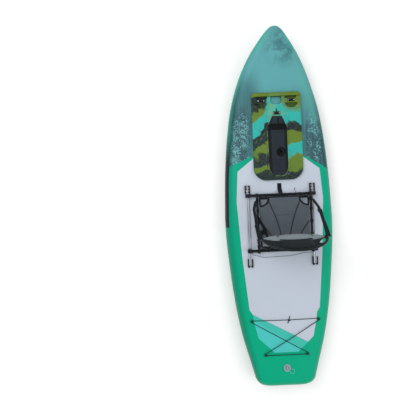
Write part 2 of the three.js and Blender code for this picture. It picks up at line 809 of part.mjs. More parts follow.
// Rails: slotted tracks, each held down by a fork at its front and a U at its rear, with its screw
function makeRails() {
  const length = railFrontY - railRearY;
  const middle = (railFrontY + railRearY) / 2;
  for (const [side, sign] of sides) {
    const x = sign * railX;
    const rail = block(x, middle, railWidth, length, railBottom, railTop);
    const slot = block(x, middle, railSlotWidth, length + 2 * overrun, railTop - railSlotDepth, railTop + overrun);
    add(`rail_${side}`, cut(rail, slot), finishes.rail);
    for (const [end, tipY, inward] of [['front', railFrontY, -1], ['rear', railRearY, 1]]) {
      const outerY = tipY - inward * (stopBridge + restGap);
      const stopY = outerY + inward * (stopLength / 2);
      const frame = block(x, stopY, stopWidth, stopLength, railBottom, railBottom + stopHeight);
      const trackLength = stopLength - stopBridge;
      const trackY = outerY + inward * (stopBridge + trackLength / 2 + overrun / 2);
      const track = block(x, trackY, railWidth + 2 * restGap, trackLength + overrun, railBottom - overrun,
        railBottom + stopHeight + overrun);
      const pieces = [cut(frame, track)];
      if (end === 'front') {
        for (const share of stopBridgeShares) {
          const bridgeY = outerY + inward * (stopBridge + share * (trackLength - stopBridge / 2));
          pieces.push(block(x, bridgeY, stopWidth, stopBridge, railTop + restGap, railBottom + stopHeight));
        }
      }
      const screwY = outerY + inward * (stopBridge / 2);
      pieces.push(disc(x, screwY, stopScrewRadius, railBottom, railBottom + stopHeight + stopScrewHead, tubeSides));
      add(`rail_stop_${end}_${side}`, joined(...pieces), finishes.blackPlastic);
    }
  }
}

// Seat carriage: sliders that ride on the rails, two bars between them, side tubes clamped on top
function makeCarriage() {
  const barReach = railX - barEndInset;
  for (const [end, y] of ends) {
    for (const [side, sign] of sides) {
      const x = sign * railX;
      const body = block(x, y, sliderWidth, sliderLength, railBottom + slideGap, sliderTop);
      const track = block(x, y, railWidth + 2 * slideGap, sliderLength + 2 * overrun, railBottom - overrun,
        railTop + slideGap);
      const inner = sign * (railX - sliderWidth / 2 - overrun);
      const outer = sign * (barReach + restGap);
      const socket = rodAcross(barRadius + restGap, Math.min(inner, outer), Math.max(inner, outer), y, barZ);
      const cutters = [track, socket];
      if (end === 'rear') {
        cutters.push(disc(x, y, lockPinRadius + lockPinClearance, railBottom, sliderTop + overrun, tubeSides));
      }
      add(`slider_${end}_${side}`, cut(body, ...cutters), finishes.blackPlastic);
    }
    const bar = new THREE.LineCurve3(new THREE.Vector3(-barReach, y, barZ), new THREE.Vector3(barReach, y, barZ));
    add(`${end}_bar`, tubeAlong(bar, barRadius, 1, tubeSides, barWall), finishes.blackTube);
  }
  for (const [side, sign] of sides) {
    const x = seatOffsetX + sign * seatTubeX;
    const start = new THREE.Vector3(x, rearBarY - seatTubeOverhang, seatTubeZ);
    const finishPoint = new THREE.Vector3(x, frontBarY + seatTubeOverhang, seatTubeZ);
    const tube = tubeAlong(new THREE.LineCurve3(start, finishPoint), seatTubeRadius, 1, tubeSides, seatTubeWall);
    add(`seat_tube_${side}`, tube, finishes.blackTube);
    for (const [end, y] of ends) {
      const body = block(x, y, clampWidth, clampLength, barZ + restGap, seatTubeZ - restGap);
      const barSeat = rodAcross(barRadius + restGap, x - clampWidth, x + clampWidth, y, barZ);
      const tubeSeat = rodAlong(seatTubeRadius + restGap, y - clampLength, y + clampLength, x, seatTubeZ);
      add(`frame_clamp_${end}_${side}`, cut(body, barSeat, tubeSeat), finishes.blackPlastic);
    }
    const pinX = sign * railX;
    const pin = disc(pinX, rearBarY, lockPinRadius, railTop - lockPinReach, sliderTop + 2 * restGap, tubeSides);
    const knob = disc(pinX, rearBarY, lockKnobRadius, sliderTop + restGap, sliderTop + lockKnobHeight, tubeSides);
    add(`lock_pin_${side}`, joined(pin, knob), finishes.steel);
  }
  const cordPlaces = releaseCordRoute.map(([x, aft, up]) => [x, rearBarY - aft, padTop + up]);
  const cord = new THREE.CatmullRomCurve3(vectors(cordPlaces));
  const cordSteps = 56;
  add('release_cord', tubeAlong(cord, releaseCordRadius, cordSteps, cordSides), finishes.cord);
}

// Seat panel: fabric stretched between the tubes, crowned, with four seams that fan out to the front
function seamAcross(u, v) {
  // u runs from the middle to the edge, v from the rear to the front, and the result is a share of the width
  const inner = THREE.MathUtils.lerp(innerSeamRearShare, innerSeamFrontShare, v ** seamCurve);
  const outerRun = Math.min(v / outerSeamStartShare, 1) ** seamCurve;
  const outer = Math.max(THREE.MathUtils.lerp(outerSeamRearShare, outerSeamFrontShare, outerRun),
    inner + seamSpreadShare);
  const places = [[0, 0], [innerSeamColumnShare, inner], [outerSeamColumnShare, outer], [1, 1]];
  const i = places.findIndex(([column]) => column >= u);
  const [fromColumn, from] = places[Math.max(i - 1, 0)];
  const [toColumn, to] = places[i];
  return toColumn === fromColumn ? to : THREE.MathUtils.mapLinear(u, fromColumn, toColumn, from, to);
}

function seamDip(u) {
  return [innerSeamColumnShare, outerSeamColumnShare].some((seam) => Math.abs(Math.abs(u) - seam) < weld)
    ? seamDepth : 0;
}

function crownAt(share) {
  return 1 - Math.abs(share) ** crownPower;
}

function makeSeatPanel() {
  const half = seatTubeX - seatTubeRadius - restGap;
  const rear = rearBarY + seatPanelRearInset;
  const front = frontBarY - barRadius - seatPanelFrontGap;
  const columns = 20;
  const rows = 14;
  const at = (side) => (a, b) => {
    const u = a * 2 - 1;
    const across = Math.sign(u) * seamAcross(Math.abs(u), b);
    const crown = seatPanelCrown * crownAt(across) * crownAt(2 * b - 1);
    const face = side > 0 ? seatPanelThickness / 2 + crown - seamDip(u) * crownAt(2 * b - 1) : -seatPanelThickness / 2;
    return [seatOffsetX + across * half, rear + b * (front - rear), seatTubeZ + face];
  };
  const sheet = paddedSheet(columns, rows, at(1), at(-1));
  const holes = [];
  for (const sign of [-1, 1]) {
    for (const [edgeY, inward] of [[front, -1], [rear, 1]]) {
      const outerX = seatOffsetX + sign * (half - cornerBinding);
      const startY = edgeY + inward * cornerBinding;
      const shape = new THREE.Shape();
      const points = [[outerX, startY]];
      const holeSteps = 8;
      for (let i = 0; i <= holeSteps; i += 1) {
        const turn = (i / holeSteps) * (Math.PI / 2);
        points.push([
          outerX - sign * cornerHoleWidth * Math.cos(turn),
          startY + inward * cornerHoleLength * Math.sin(turn),
        ]);
      }
      shape.setFromPoints(points.map(([x, y]) => new THREE.Vector2(x, y)));
      holes.push(prism(shape, seatTubeZ - seatTubeRadius, seatTubeZ + seatTubeRadius + seatPanelCrown));
    }
  }
  add('seat_base_panel', cut(sheet, ...holes), finishes.seatFabric);
}

// Backrest: its side profile bends aft between two lengths, measured from the pivot along the tube
function backProfile(length) {
  const lower = THREE.MathUtils.degToRad(backLowerLean);
  const upper = THREE.MathUtils.degToRad(backUpperLean);
  const bend = backBendEnd - backBendStart;
  const radius = bend / (upper - lower);
  const straight = Math.min(length, backBendStart);
  let y = pivotY - straight * Math.sin(lower);
  let z = pivotZ + straight * Math.cos(lower);
  const turned = THREE.MathUtils.clamp((length - backBendStart) / bend, 0, 1);
  const lean = lower + turned * (upper - lower);
  y += radius * (Math.cos(lean) - Math.cos(lower));
  z += radius * (Math.sin(lean) - Math.sin(lower));
  const rest = Math.max(length - backBendEnd, 0);
  return { y: y - rest * Math.sin(upper), z: z + rest * Math.cos(upper), lean };
}

function backPoint(x, length, forward) {
  const { y, z, lean } = backProfile(length);
  return [seatOffsetX + x, y + forward * Math.cos(lean), z + forward * Math.sin(lean)];
}

function backHalfWidth(length) {
  const run = THREE.MathUtils.smoothstep(length, backFlareStart, backFlareEnd);
  return seatTubeX + run * (backCornerX - seatTubeX);
}

function backTubeCurve() {
  const points = [];
  const straightSteps = 6;
  const archSteps = 9;
  for (let i = 0; i < straightSteps; i += 1) {
    const length = THREE.MathUtils.lerp(-backTubeTail, backArchStart, i / straightSteps);
    points.push(backPoint(-backHalfWidth(length), length, 0));
  }
  for (let i = 0; i <= 2 * archSteps; i += 1) {
    const turn = (i / archSteps) * (Math.PI / 2);
    const length = backArchStart + (backLength - backArchStart) * Math.sin(turn);
    points.push(backPoint(-backCornerX * Math.cos(turn), length, 0));
  }
  for (let i = straightSteps - 1; i >= 0; i -= 1) {
    const length = THREE.MathUtils.lerp(-backTubeTail, backArchStart, i / straightSteps);
    points.push(backPoint(backHalfWidth(length), length, 0));
  }
  return new THREE.CatmullRomCurve3(vectors(points));
}

function backPanelHalf(length) {
  const half = backHalfWidth(length) - backTubeRadius - restGap;
  const run = THREE.MathUtils.clamp((length - backPanelScoopStart) / (backPanelEnd - backPanelScoopStart), 0, 1);
  return half - (half - sleeveHalfWidth) * (1 - Math.sqrt(1 - run ** 2));
}

function makeBackrest() {
  const frameSteps = 44;
  const bore = rodAcross(hingePinRadius + hingePinClearance, seatOffsetX - halfWidth, seatOffsetX + halfWidth,
    pivotY, pivotZ);
  const curve = backTubeCurve();
  const frame = cut(tubeAlong(curve, backTubeRadius, frameSteps, tubeSides, backTubeWall), bore);
  add('backrest_frame', frame, finishes.blackTube);

  const columns = 20;
  const rows = 14;
  const at = (side) => (a, b) => {
    const u = 1 - a * 2;
    const length = THREE.MathUtils.lerp(backPanelStart, backPanelEnd, b);
    const share = Math.sign(u) * seamAcross(Math.abs(u), b);
    const crown = backPanelCrown * crownAt(share) * crownAt(2 * b - 1);
    const face = side > 0 ? backPanelThickness / 2 + crown - seamDip(u) * crownAt(2 * b - 1) : -backPanelThickness / 2;
    return backPoint(share * backPanelHalf(length), length, face);
  };
  add('backrest_panel', paddedSheet(columns, rows, at(1), at(-1)), finishes.seatFabric);

  const sleeveRows = 10;
  const sleeveColumns = 12;
  const sleeveAt = (side) => (a, b) => {
    const x = (1 - 2 * a) * sleeveHalfWidth;
    const top = backLength + sleeveReach - (backLength - backArchStart) * (1 - Math.sqrt(1 - (x / backCornerX) ** 2));
    const length = THREE.MathUtils.lerp(backPanelEnd + restGap, top, b);
    const swell = (sleeveThickness / 2) * Math.sqrt(Math.max(Math.sin(Math.PI * THREE.MathUtils.lerp(sleeveEdgeShare, 1 - sleeveEdgeShare, b)), 0));
    return backPoint(x, length, side * swell);
  };
  const tubeSpace = tubeAlong(curve, backTubeRadius + restGap, frameSteps, tubeSides);
  const sleeve = cut(paddedSheet(sleeveColumns, sleeveRows, sleeveAt(1), sleeveAt(-1)), tubeSpace);
  add('backrest_sleeve', sleeve, finishes.webbing);

  for (const [side, sign] of sides) {
    const inner = seatOffsetX + sign * (seatTubeX + seatTubeRadius + restGap);
    const outer = inner + sign * hingeEarThickness;
    const earX = (inner + outer) / 2;
    const ear = block(earX, pivotY, hingeEarThickness, hingeEarWidth, seatTubeZ - seatTubeRadius,
      pivotZ + hingeEarMargin);
    add(`hinge_bracket_${side}`, cut(ear, bore), finishes.blackPlastic);
    const pinInner = seatOffsetX + sign * (seatTubeX - backTubeRadius - restGap);
    const pinOuter = outer + sign * restGap;
    const shaft = rodAcross(hingePinRadius, Math.min(pinInner, pinOuter), Math.max(pinInner, pinOuter), pivotY,
      pivotZ);
    const headEnd = pinOuter + sign * hingePinHeadLength;
    const head = rodAcross(hingePinHead, Math.min(pinOuter, headEnd), Math.max(pinOuter, headEnd), pivotY, pivotZ);
    add(`hinge_pin_${side}`, joined(shaft, head), finishes.steel);
  }
}

// Straps: each runs from a side tube up to the corner of the backrest, through a buckle
function makeStraps() {
  const corner = backProfile(backArchStart);
  for (const [side, sign] of sides) {
    const footX = seatTubeX + seatTubeRadius + strapStandOff;
    const headX = backCornerX + backTubeRadius + strapStandOff + restGap;
    const spreadX = backCornerX + backTubeRadius + strapSpread;
    const places = [footX, ...strapSpreadShares.map(() => spreadX), headX];
    const shares = [0, ...strapSpreadShares, 1];
    const middleAt = (share) => {
      const i = Math.max(shares.findIndex((place) => place >= share), 1);
      const x = THREE.MathUtils.mapLinear(share, shares[i - 1], shares[i], places[i - 1], places[i]);
      return new THREE.Vector3(
        seatOffsetX + sign * x,
        THREE.MathUtils.lerp(strapFootY, corner.y, share),
        THREE.MathUtils.lerp(seatTubeZ, corner.z, share),
      );
    };
    const along = new THREE.Vector3(0, corner.y - strapFootY, corner.z - seatTubeZ).normalize();
    const across = new THREE.Vector3(0, -along.z, along.y);
    const at = (face) => (a, b) => middleAt(b)
      .addScaledVector(across, (a - 1 / 2) * strapWidth)
      .add(new THREE.Vector3((face * strapThickness) / 2, 0, 0))
      .toArray();
    const strapRows = 20;
    add(`side_strap_${side}`, paddedSheet(1, strapRows, at(-1), at(1)), finishes.webbing);
    const pitch = Math.atan2(along.z, along.y);
    const spot = middleAt(buckleShares[side]);
    const place = (geometry) => geometry.rotateX(pitch).translate(spot.x, spot.y, spot.z);
    const buckle = new THREE.BoxGeometry(buckleThickness, buckleLength, buckleWidth);
    const slot = new THREE.BoxGeometry(strapThickness + 2 * restGap, buckleLength + 2 * overrun,
      strapWidth + 2 * restGap);
    add(`strap_buckle_${side}`, cut(place(buckle), place(slot)), finishes.blackPlastic);
  }
  const patchBottom = padTop + restGap;
  const patchTop = patchBottom + frontPatchThickness;
  add('front_strap_patch', block(0, frontPatchY, frontPatchWidth, frontPatchLength, patchBottom, patchTop),
    finishes.webbing);
  const strapBottom = patchTop + restGap;
  const rearY = frontBarY + barRadius + restGap;
  const frontY = frontPatchY + frontPatchLength / 2;
  const riseY = frontPatchY - frontPatchLength / 2;
  const strapSection = [
    [frontY, strapBottom], [riseY, strapBottom], [rearY, barZ - frontStrapThickness],
    [rearY, barZ + frontStrapThickness], [riseY, strapBottom + frontStrapThickness],
    [frontY, strapBottom + frontStrapThickness],
  ];
  const shape = outline(strapSection);
  const options = { depth: frontStrapWidth, bevelEnabled: false };
  const strap = new THREE.ExtrudeGeometry(shape, options);
  // the section was drawn with Y across and Z up, so it is turned to stand along X
  const turn = new THREE.Matrix4().set(0, 0, 1, -frontStrapWidth / 2, 1, 0, 0, 0, 0, 1, 0, 0, 0, 0, 0, 1);
  add('front_strap', strap.applyMatrix4(turn), finishes.webbing);
}

// Bungee: one cord through four anchors, its two ends held in the cord lock
function anchorPlaces() {
  const frontX = bungeeFrontShare * hullHalfWidth(bungeeFrontY);
  const rearX = bungeeRearShare * hullHalfWidth(bungeeRearY);
  return [
    ['front_left', -frontX, bungeeFrontY], ['front_right', frontX, bungeeFrontY],
    ['rear_left', -rearX, bungeeRearY], ['rear_right', rearX, bungeeRearY],
  ];
}

function makeBungee() {
  const centreY = (bungeeFrontY + bungeeRearY) / 2;
  const z = deckTop + bungeeLift;
  for (const [name, x, y] of anchorPlaces()) {
    const base = disc(0, 0, anchorRadius, 0, anchorThickness);
    const post = anchorLoopLength / 2;
    const loopShape = roundedRectangle(-post, post, 0, anchorLoopHeight, 0, anchorLoopBar);
    const hole = roundedRectangle(-post + anchorLoopBar, post - anchorLoopBar, anchorThickness,
      anchorLoopHeight - anchorLoopBar, 0, anchorLoopBar / 2);
    loopShape.holes.push(hole);
    const loop = new THREE.ExtrudeGeometry(loopShape, {
      depth: anchorLoopThickness, bevelEnabled: false, curveSegments: 2,
    });
    loop.translate(0, 0, -anchorLoopThickness / 2).rotateX(Math.PI / 2);
    const heading = Math.atan2(y - centreY, x);
    const anchor = joined(base, loop).rotateZ(heading).translate(x, y, deckTop + restGap);
    add(`bungee_anchor_${name}`, anchor, finishes.rubber);
  }
  // the cord turns round each inner post, at the middle of the loop's hole
  const bend = anchorLoopLength / 2 - anchorLoopBar / 2;
  const lockY = bungeeFrontY;
  const reach = cordLockLength / 2 + restGap;
  const corner = (x, y, from, to) => {
    const points = [];
    const heading = Math.atan2(y - centreY, x);
    const postX = x - bend * Math.cos(heading);
    const postY = y - bend * Math.sin(heading);
    const turnSteps = 6;
    for (let i = 0; i <= turnSteps; i += 1) {
      const turn = THREE.MathUtils.lerp(from, to, i / turnSteps);
      points.push([postX + bend * Math.cos(heading + turn), postY + bend * Math.sin(heading + turn), z]);
    }
    return points;
  };
  const right = Math.PI / 2;
  const [[, ...frontLeft], [, ...frontRight], [, ...rearLeft], [, ...rearRight]] = anchorPlaces();
  const starboardFront = corner(...frontRight, right, -right);
  const portRear = corner(...rearLeft, -right, right);
  const starboardRear = corner(...rearRight, -right, right);
  const portFront = corner(...frontLeft, right, -right);
  const between = (a, b, share, lift) => [
    THREE.MathUtils.lerp(a[0], b[0], share), THREE.MathUtils.lerp(a[1], b[1], share), z + lift,
  ];
  const leave = (points) => points[points.length - 1];
  const route = [
    [cordLockX + reach, lockY, z],
    between([cordLockX + reach, lockY], starboardFront[0], 1 / 2, 0),
    ...starboardFront,
    ...crossingShares.map((share, i) => between(leave(starboardFront), portRear[0], share,
      i === 1 ? bungeeCross : bungeeCross * crossingShoulderShare)),
    ...portRear,
    between(leave(portRear), starboardRear[0], 1 / 2, 0),
    ...starboardRear,
    ...crossingShares.map((share) => between(leave(starboardRear), portFront[0], share, 0)),
    ...portFront,
    between(leave(portFront), [cordLockX - reach, lockY], 1 / 2, 0),
    [cordLockX - reach, lockY, z],
  ];
  const curve = new THREE.CatmullRomCurve3(vectors(route), false, 'centripetal');
  const bungeeSteps = 180;
  add('bungee_cord', tubeAlong(curve, bungeeRadius, bungeeSteps, cordSides), finishes.cord);
  const lockBottom = padTop + restGap;
  add('cord_lock', block(cordLockX, lockY, cordLockLength, cordLockWidth, lockBottom, lockBottom + cordLockHeight),
    finishes.blackPlastic);
}

// Valve: a cup welded in the deck, a sprung stem in its floor, and a cap that turns to lock
function lathe(profile, y, z) {
  const points = profile.map(([radius, height]) => new THREE.Vector2(radius, height));
  return new THREE.LatheGeometry(points, discSides).rotateX(Math.PI / 2).translate(0, y, z);
}

function makeValve() {
  const inner = valveBodyRadius - valveWall;
  const flangeBase = restGap;
  const bottom = -valveBodyDepth;
  const floorTop = bottom + valveFloor;
  const guide = stemRadius + stemClearance;
  const ledge = flangeBase + valveFlangeHeight + valveCapRise - valveCapHeight - restGap;
  const shell = lathe([
    [guide, bottom], [valveBodyRadius, bottom], [valveBodyRadius, flangeBase],
    [valveFlangeRadius, flangeBase], [valveFlangeRadius - flangeBase, flangeBase + valveFlangeHeight],
    [inner, flangeBase + valveFlangeHeight], [inner, ledge], [valveLedgeRadius, ledge],
    [valveLedgeRadius, floorTop], [guide, floorTop], [guide, bottom],
  ], valveY, deckTop);
  const airHoles = [];
  for (let i = 0; i < valveHoles; i += 1) {
    const turn = (i / valveHoles) * Math.PI * 2;
    airHoles.push(disc(valveHoleCircle * Math.cos(turn), valveY + valveHoleCircle * Math.sin(turn),
      valveHoleRadius, deckTop + bottom - overrun, deckTop + floorTop + overrun, tubeSides));
  }
  add('valve_body', cut(shell, ...airHoles), finishes.valvePlastic);

  const capTop = deckTop + flangeBase + valveFlangeHeight + valveCapRise;
  const cap = disc(0, valveY, valveCapRadius, capTop - valveCapHeight, capTop);
  const grip = block(0, valveY, 2 * valveCapRadius * valveGripShare, valveGripWidth, capTop - weld, capTop + valveGripHeight);
  add('valve_cap', joined(cap, grip), finishes.valvePlastic);

  const stemTop = deckTop + bottom + stemLength;
  const foot = disc(0, valveY, stemFootRadius, deckTop + bottom - restGap - stemFootHeight,
    deckTop + bottom - restGap, tubeSides);
  const shaft = disc(0, valveY, stemRadius, deckTop + bottom - restGap - weld, stemTop, tubeSides);
  const head = disc(0, valveY, stemHeadRadius, stemTop - stemHeadHeight, stemTop, tubeSides);
  add('valve_stem', joined(foot, shaft, head), finishes.valvePlastic);

  const springPoints = [];
  const stepsPerTurn = 8;
  const springBottom = deckTop + floorTop + restGap + springWire / 2;
  const springTop = stemTop - stemHeadHeight - restGap - springWire / 2;
  const springSteps = springTurns * stepsPerTurn;
  for (let i = 0; i <= springSteps; i += 1) {
    const turn = (i / stepsPerTurn) * Math.PI * 2;
    springPoints.push(new THREE.Vector3(
      springRadius * Math.cos(turn),
      valveY + springRadius * Math.sin(turn),
      THREE.MathUtils.lerp(springBottom, springTop, i / springSteps),
    ));
  }
  const springCurve = new THREE.CatmullRomCurve3(springPoints);
  const wireSides = 5;
  add('valve_spring', tubeAlong(springCurve, springWire / 2, springSteps, wireSides), finishes.steel);

  const tetherZ = deckTop + tetherRadius + restGap;
  const tetherStart = valveFlangeRadius + tetherRadius + restGap;
  const tetherPoints = [];
  const tetherSteps = 16;
  for (let i = 0; i <= tetherSteps; i += 1) {
    const turn = THREE.MathUtils.lerp(-tetherSweepShare, tetherSweepShare, i / tetherSteps) * Math.PI;
    const along = tetherStart + tetherLoop * (1 + Math.cos(turn));
    const across = tetherLoop * Math.sin(turn);
    tetherPoints.push(new THREE.Vector3(along, across, 0));
  }
  const tetherCurve = new THREE.CatmullRomCurve3(tetherPoints);
  const tetherTurn = tetherTurnShare * Math.PI;
  const tether = tubeAlong(tetherCurve, tetherRadius, tetherSteps * 2, cordSides);
  add('valve_tether', tether.rotateZ(tetherTurn).translate(0, valveY, tetherZ), finishes.tetherCord);
}

makeHull();
makePads();
makePod();
makeEyes();
makePlug();
makeRails();
makeCarriage();
makeSeatPanel();
makeBackrest();
makeStraps();
makeBungee();
makeValve();

export default kayak;
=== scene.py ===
# Inflatable pedal kayak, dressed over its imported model.
# Metres. +Y is the bow, +X is starboard, +Z is up, and the hull rests on the plane at zero.
import math

import bmesh
import bpy
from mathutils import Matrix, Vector
from mathutils.bvhtree import BVHTree
from mathutils.kdtree import KDTree


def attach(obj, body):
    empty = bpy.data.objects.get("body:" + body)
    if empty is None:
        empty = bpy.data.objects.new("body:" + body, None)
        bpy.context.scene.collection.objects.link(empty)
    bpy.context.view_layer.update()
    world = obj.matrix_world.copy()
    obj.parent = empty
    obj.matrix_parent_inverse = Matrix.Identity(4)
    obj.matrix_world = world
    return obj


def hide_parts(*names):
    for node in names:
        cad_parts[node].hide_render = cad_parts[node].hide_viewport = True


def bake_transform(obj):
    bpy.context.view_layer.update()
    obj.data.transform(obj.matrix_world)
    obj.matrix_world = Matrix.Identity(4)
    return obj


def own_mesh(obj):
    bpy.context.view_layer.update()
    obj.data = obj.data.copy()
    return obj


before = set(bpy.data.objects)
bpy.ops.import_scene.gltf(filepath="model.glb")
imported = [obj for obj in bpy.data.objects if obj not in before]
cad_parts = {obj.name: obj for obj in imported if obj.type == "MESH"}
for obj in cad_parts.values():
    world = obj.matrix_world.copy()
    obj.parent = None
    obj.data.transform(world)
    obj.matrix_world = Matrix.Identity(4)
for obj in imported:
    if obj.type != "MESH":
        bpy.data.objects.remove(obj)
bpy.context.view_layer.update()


# Camera: looks straight down on the hull from above its port side, and is rolled a few degrees,
# so the hull stands slightly askew in the frame as in the photograph.
bpy.context.scene.view_settings.view_transform = "Standard"
lens = bpy.data.cameras.new("overhead_camera")
lens.sensor_fit = "HORIZONTAL"
lens.angle = math.radians(58.24)
overhead = bpy.data.objects.new("overhead_camera", lens)
bpy.context.scene.collection.objects.link(overhead)
overhead.location = (-0.721, 0.116, 3.45)
overhead.rotation_euler = (0.0, 0.0, math.radians(-2.57))
bpy.context.scene.camera = overhead


# Studio: a wide pale floor that keeps the hull's soft shadow, a bright dome of light all round,
# and one large lamp high to port that gives the tubes and folds their highlights.
def linear(red, green, blue):
    shares = [value / 255.0 for value in (red, green, blue)]
    return tuple(s / 12.92 if s <= 0.04045 else ((s + 0.055) / 1.055) ** 2.4 for s in shares)


def add_node(tree, kind, inputs=None, **settings):
    item = tree.nodes.new(kind)
    for key, value in settings.items():
        setattr(item, key, value)
    for key, value in (inputs or {}).items():
        value = getattr(value, "socket", value)
        if isinstance(value, bpy.types.NodeSocket):
            tree.links.new(value, item.inputs[key])
        else:
            item.inputs[key].default_value = value
    return item


# a node's output in a form that takes part in sums, so that a mask reads as a formula
class Value:
    def __init__(self, socket):
        self.socket = socket

    def math(self, operation, second=0.0, third=0.0, clamp=False):
        return sum_node(operation, self, second, third, clamp)

    def ramp(self, low, high):
        return Value(add_node(self.socket.id_data, "ShaderNodeMapRange",
                              {"Value": self, "From Min": low, "From Max": high},
                              interpolation_type="SMOOTHSTEP").outputs["Result"])

    def __abs__(self):
        return self.math("ABSOLUTE")

    def __add__(self, other):
        return self.math("ADD", other)

    def __mul__(self, other):
        return self.math("MULTIPLY", other)

    def __sub__(self, other):
        return self.math("SUBTRACT", other)

    def __rsub__(self, other):
        return sum_node("SUBTRACT", other, self, 0.0, False, self.socket.id_data)


def sum_node(operation, first, second, third, clamp, tree=None):
    return Value(add_node(tree or first.socket.id_data, "ShaderNodeMath", {0: first, 1: second, 2: third},
                          operation=operation, use_clamp=clamp).outputs[0])


def blend_colors(share, first, second):
    colors = [c if isinstance(c, bpy.types.NodeSocket) else (*c, 1.0) for c in (first, second)]
    return add_node(share.socket.id_data, "ShaderNodeMix", {0: share, 6: colors[0], 7: colors[1]},
                    data_type="RGBA").outputs[2]


def object_place(tree):
    return add_node(tree, "ShaderNodeTexCoord").outputs["Object"]


def axes_of(vector):
    split = add_node(vector.id_data, "ShaderNodeSeparateXYZ", {"Vector": vector})
    return [Value(split.outputs[axis]) for axis in "XYZ"]


def new_material(name, roughness, metallic=0.0):
    made = bpy.data.materials.new(name)
    made.use_nodes = True
    tree = made.node_tree
    shader = tree.nodes["Principled BSDF"]
    shader.inputs["Roughness"].default_value = roughness
    shader.inputs["Metallic"].default_value = metallic
    shader.inputs["Specular IOR Level"].default_value = 0.5 if metallic > 0.5 else 0.22
    return made, tree, shader


def add_object(name, data):
    made = bpy.data.objects.new(name, data)
    bpy.context.scene.collection.objects.link(made)
    return made


floor_mesh = bpy.data.meshes.new("studio_floor")
reach = 40.0
floor_mesh.from_pydata([(-reach, -reach, -0.002), (reach, -reach, -0.002), (reach, reach, -0.002),
                        (-reach, reach, -0.002)], [], [(0, 1, 2, 3)])
add_object("studio_floor", floor_mesh)
paper, paper_tree, paper_shader = new_material("studio_paper", 0.9)
seen = add_node(paper_tree, "ShaderNodeLightPath")
direct = Value(seen.outputs["Is Camera Ray"]).math("MAXIMUM", seen.outputs["Is Glossy Ray"])
paper_tree.links.new(blend_colors(direct, (0.62, 0.62, 0.62), (0.98, 0.98, 0.98)),
                     paper_shader.inputs["Base Color"])
paper_shader.inputs["Specular IOR Level"].default_value = 0.0
paper_shader.inputs["Emission Color"].default_value = (1.0, 1.0, 1.0, 1.0)
from_middle = add_node(paper_tree, "ShaderNodeVectorMath", {0: object_place(paper_tree)}, operation="LENGTH")
far_off = add_node(paper_tree, "ShaderNodeMapRange", {"Value": from_middle.outputs["Value"], "From Min": 2.5,
                                                      "From Max": 9.0})
glow = Value(far_off.outputs["Result"]) * 0.6 + 0.10
paper_tree.links.new((direct * glow).socket, paper_shader.inputs["Emission Strength"])
floor_mesh.materials.append(paper)

dome = bpy.data.worlds.new("studio_dome")
dome.use_nodes = True
bpy.context.scene.world = dome
sky = dome.node_tree.nodes["Background"]
ray = add_node(dome.node_tree, "ShaderNodeLightPath")
seen_sky = Value(ray.outputs["Is Camera Ray"]).math("MAXIMUM", ray.outputs["Is Transmission Ray"])
sky.inputs["Color"].default_value = (1.0, 1.0, 1.0, 1.0)
dome.node_tree.links.new((seen_sky * 0.30 + 0.70).socket, sky.inputs["Strength"])
lamps = (("key_lamp", 84.0, 2.6, (-2.4, 1.6, 4.2)), ("fill_lamp", 34.0, 3.0, (2.8, -1.8, 3.8)))
for lamp_name, power, size, place in lamps:
    lamp = bpy.data.lights.new(lamp_name, "AREA")
    lamp.energy = power
    lamp.size = size
    holder = add_object(lamp_name, lamp)
    holder.location = place
    holder.rotation_euler = Vector(place).to_track_quat("Z", "Y").to_euler()


# Hull: two skins of coated fabric held flat by thousands of threads, with a half-round wall all round.
# The print runs from pale teal at the nose to slate with foam flecks, and turns green beside the pads.
nose_outline = [(0, 0), (0.13, 0.126), (0.25, 0.268), (0.4, 0.5), (0.5, 0.648), (0.64, 0.814), (0.76, 0.907),
                (0.88, 0.967), (1, 1)]
tail_outline = [(0, 1), (0.11, 0.993), (0.3, 0.947), (0.5, 0.877), (0.69, 0.773), (0.88, 0.617), (1, 0.52)]
valve_y = -1.437
half_length = 1.6325
half_width = 0.495
wall_radius = 0.1
deck_top = 0.2
tail_corner = 0.08
nose_run, nose_rise = 0.575, 0.15
narrowest = 0.012


def along_table(table, place):
    last = len(table) - 1
    i = 0
    while i < last - 1 and table[i + 1][0] < place:
        i += 1

    def slope(k):
        before, after = table[max(k - 1, 0)], table[min(k + 1, last)]
        return (after[1] - before[1]) / (after[0] - before[0])

    span = table[i + 1][0] - table[i][0]
    rise = table[i + 1][1] - table[i][1]
    t = min(max((place - table[i][0]) / span, 0.0), 1.0)
    start_bend = slope(i) * span - rise
    end_bend = rise - slope(i + 1) * span
    return table[i][1] + rise * t + t * (1 - t) * (start_bend * (1 - t) + end_bend * t)


def hull_half_width(y):
    widest = 0.475 * 2 * half_length - half_length
    if y >= widest:
        share = math.sqrt(max(half_length - y, 0.0) / (half_length - widest))
        return half_width * along_table(nose_outline, share)
    corner_reach = max(tail_corner - (y + half_length), 0.0)
    corner = tail_corner - math.sqrt(max(tail_corner ** 2 - corner_reach ** 2, 0.0))
    return half_width * along_table(tail_outline, (widest - y) / (widest + half_length)) - corner


def hull_ring_point(y, angle, side, proud=0.0):
    width = max(hull_half_width(y), narrowest)
    reach_in = max(wall_radius - min(half_length - y, half_length + y), 0.0)
    height = max(math.sqrt(max(wall_radius ** 2 - reach_in ** 2, 0.0)), 0.008) + proud
    lift = nose_rise * (max(y - (half_length - nose_run), 0.0) / nose_run) ** 1.7
    edge = min(wall_radius, 0.9 * width)
    x = side * (width - edge + (edge + proud) * math.cos(angle))
    return Vector((x, y, wall_radius + lift + height * math.sin(angle)))


def hull_stations(count):
    stations = []
    for i in range(count + 1):
        share = i / count
        eased = -half_length * math.cos(math.pi * share) * 0.35
        stations.append(eased + (2 * share - 1) * half_length * 0.65)
    return stations


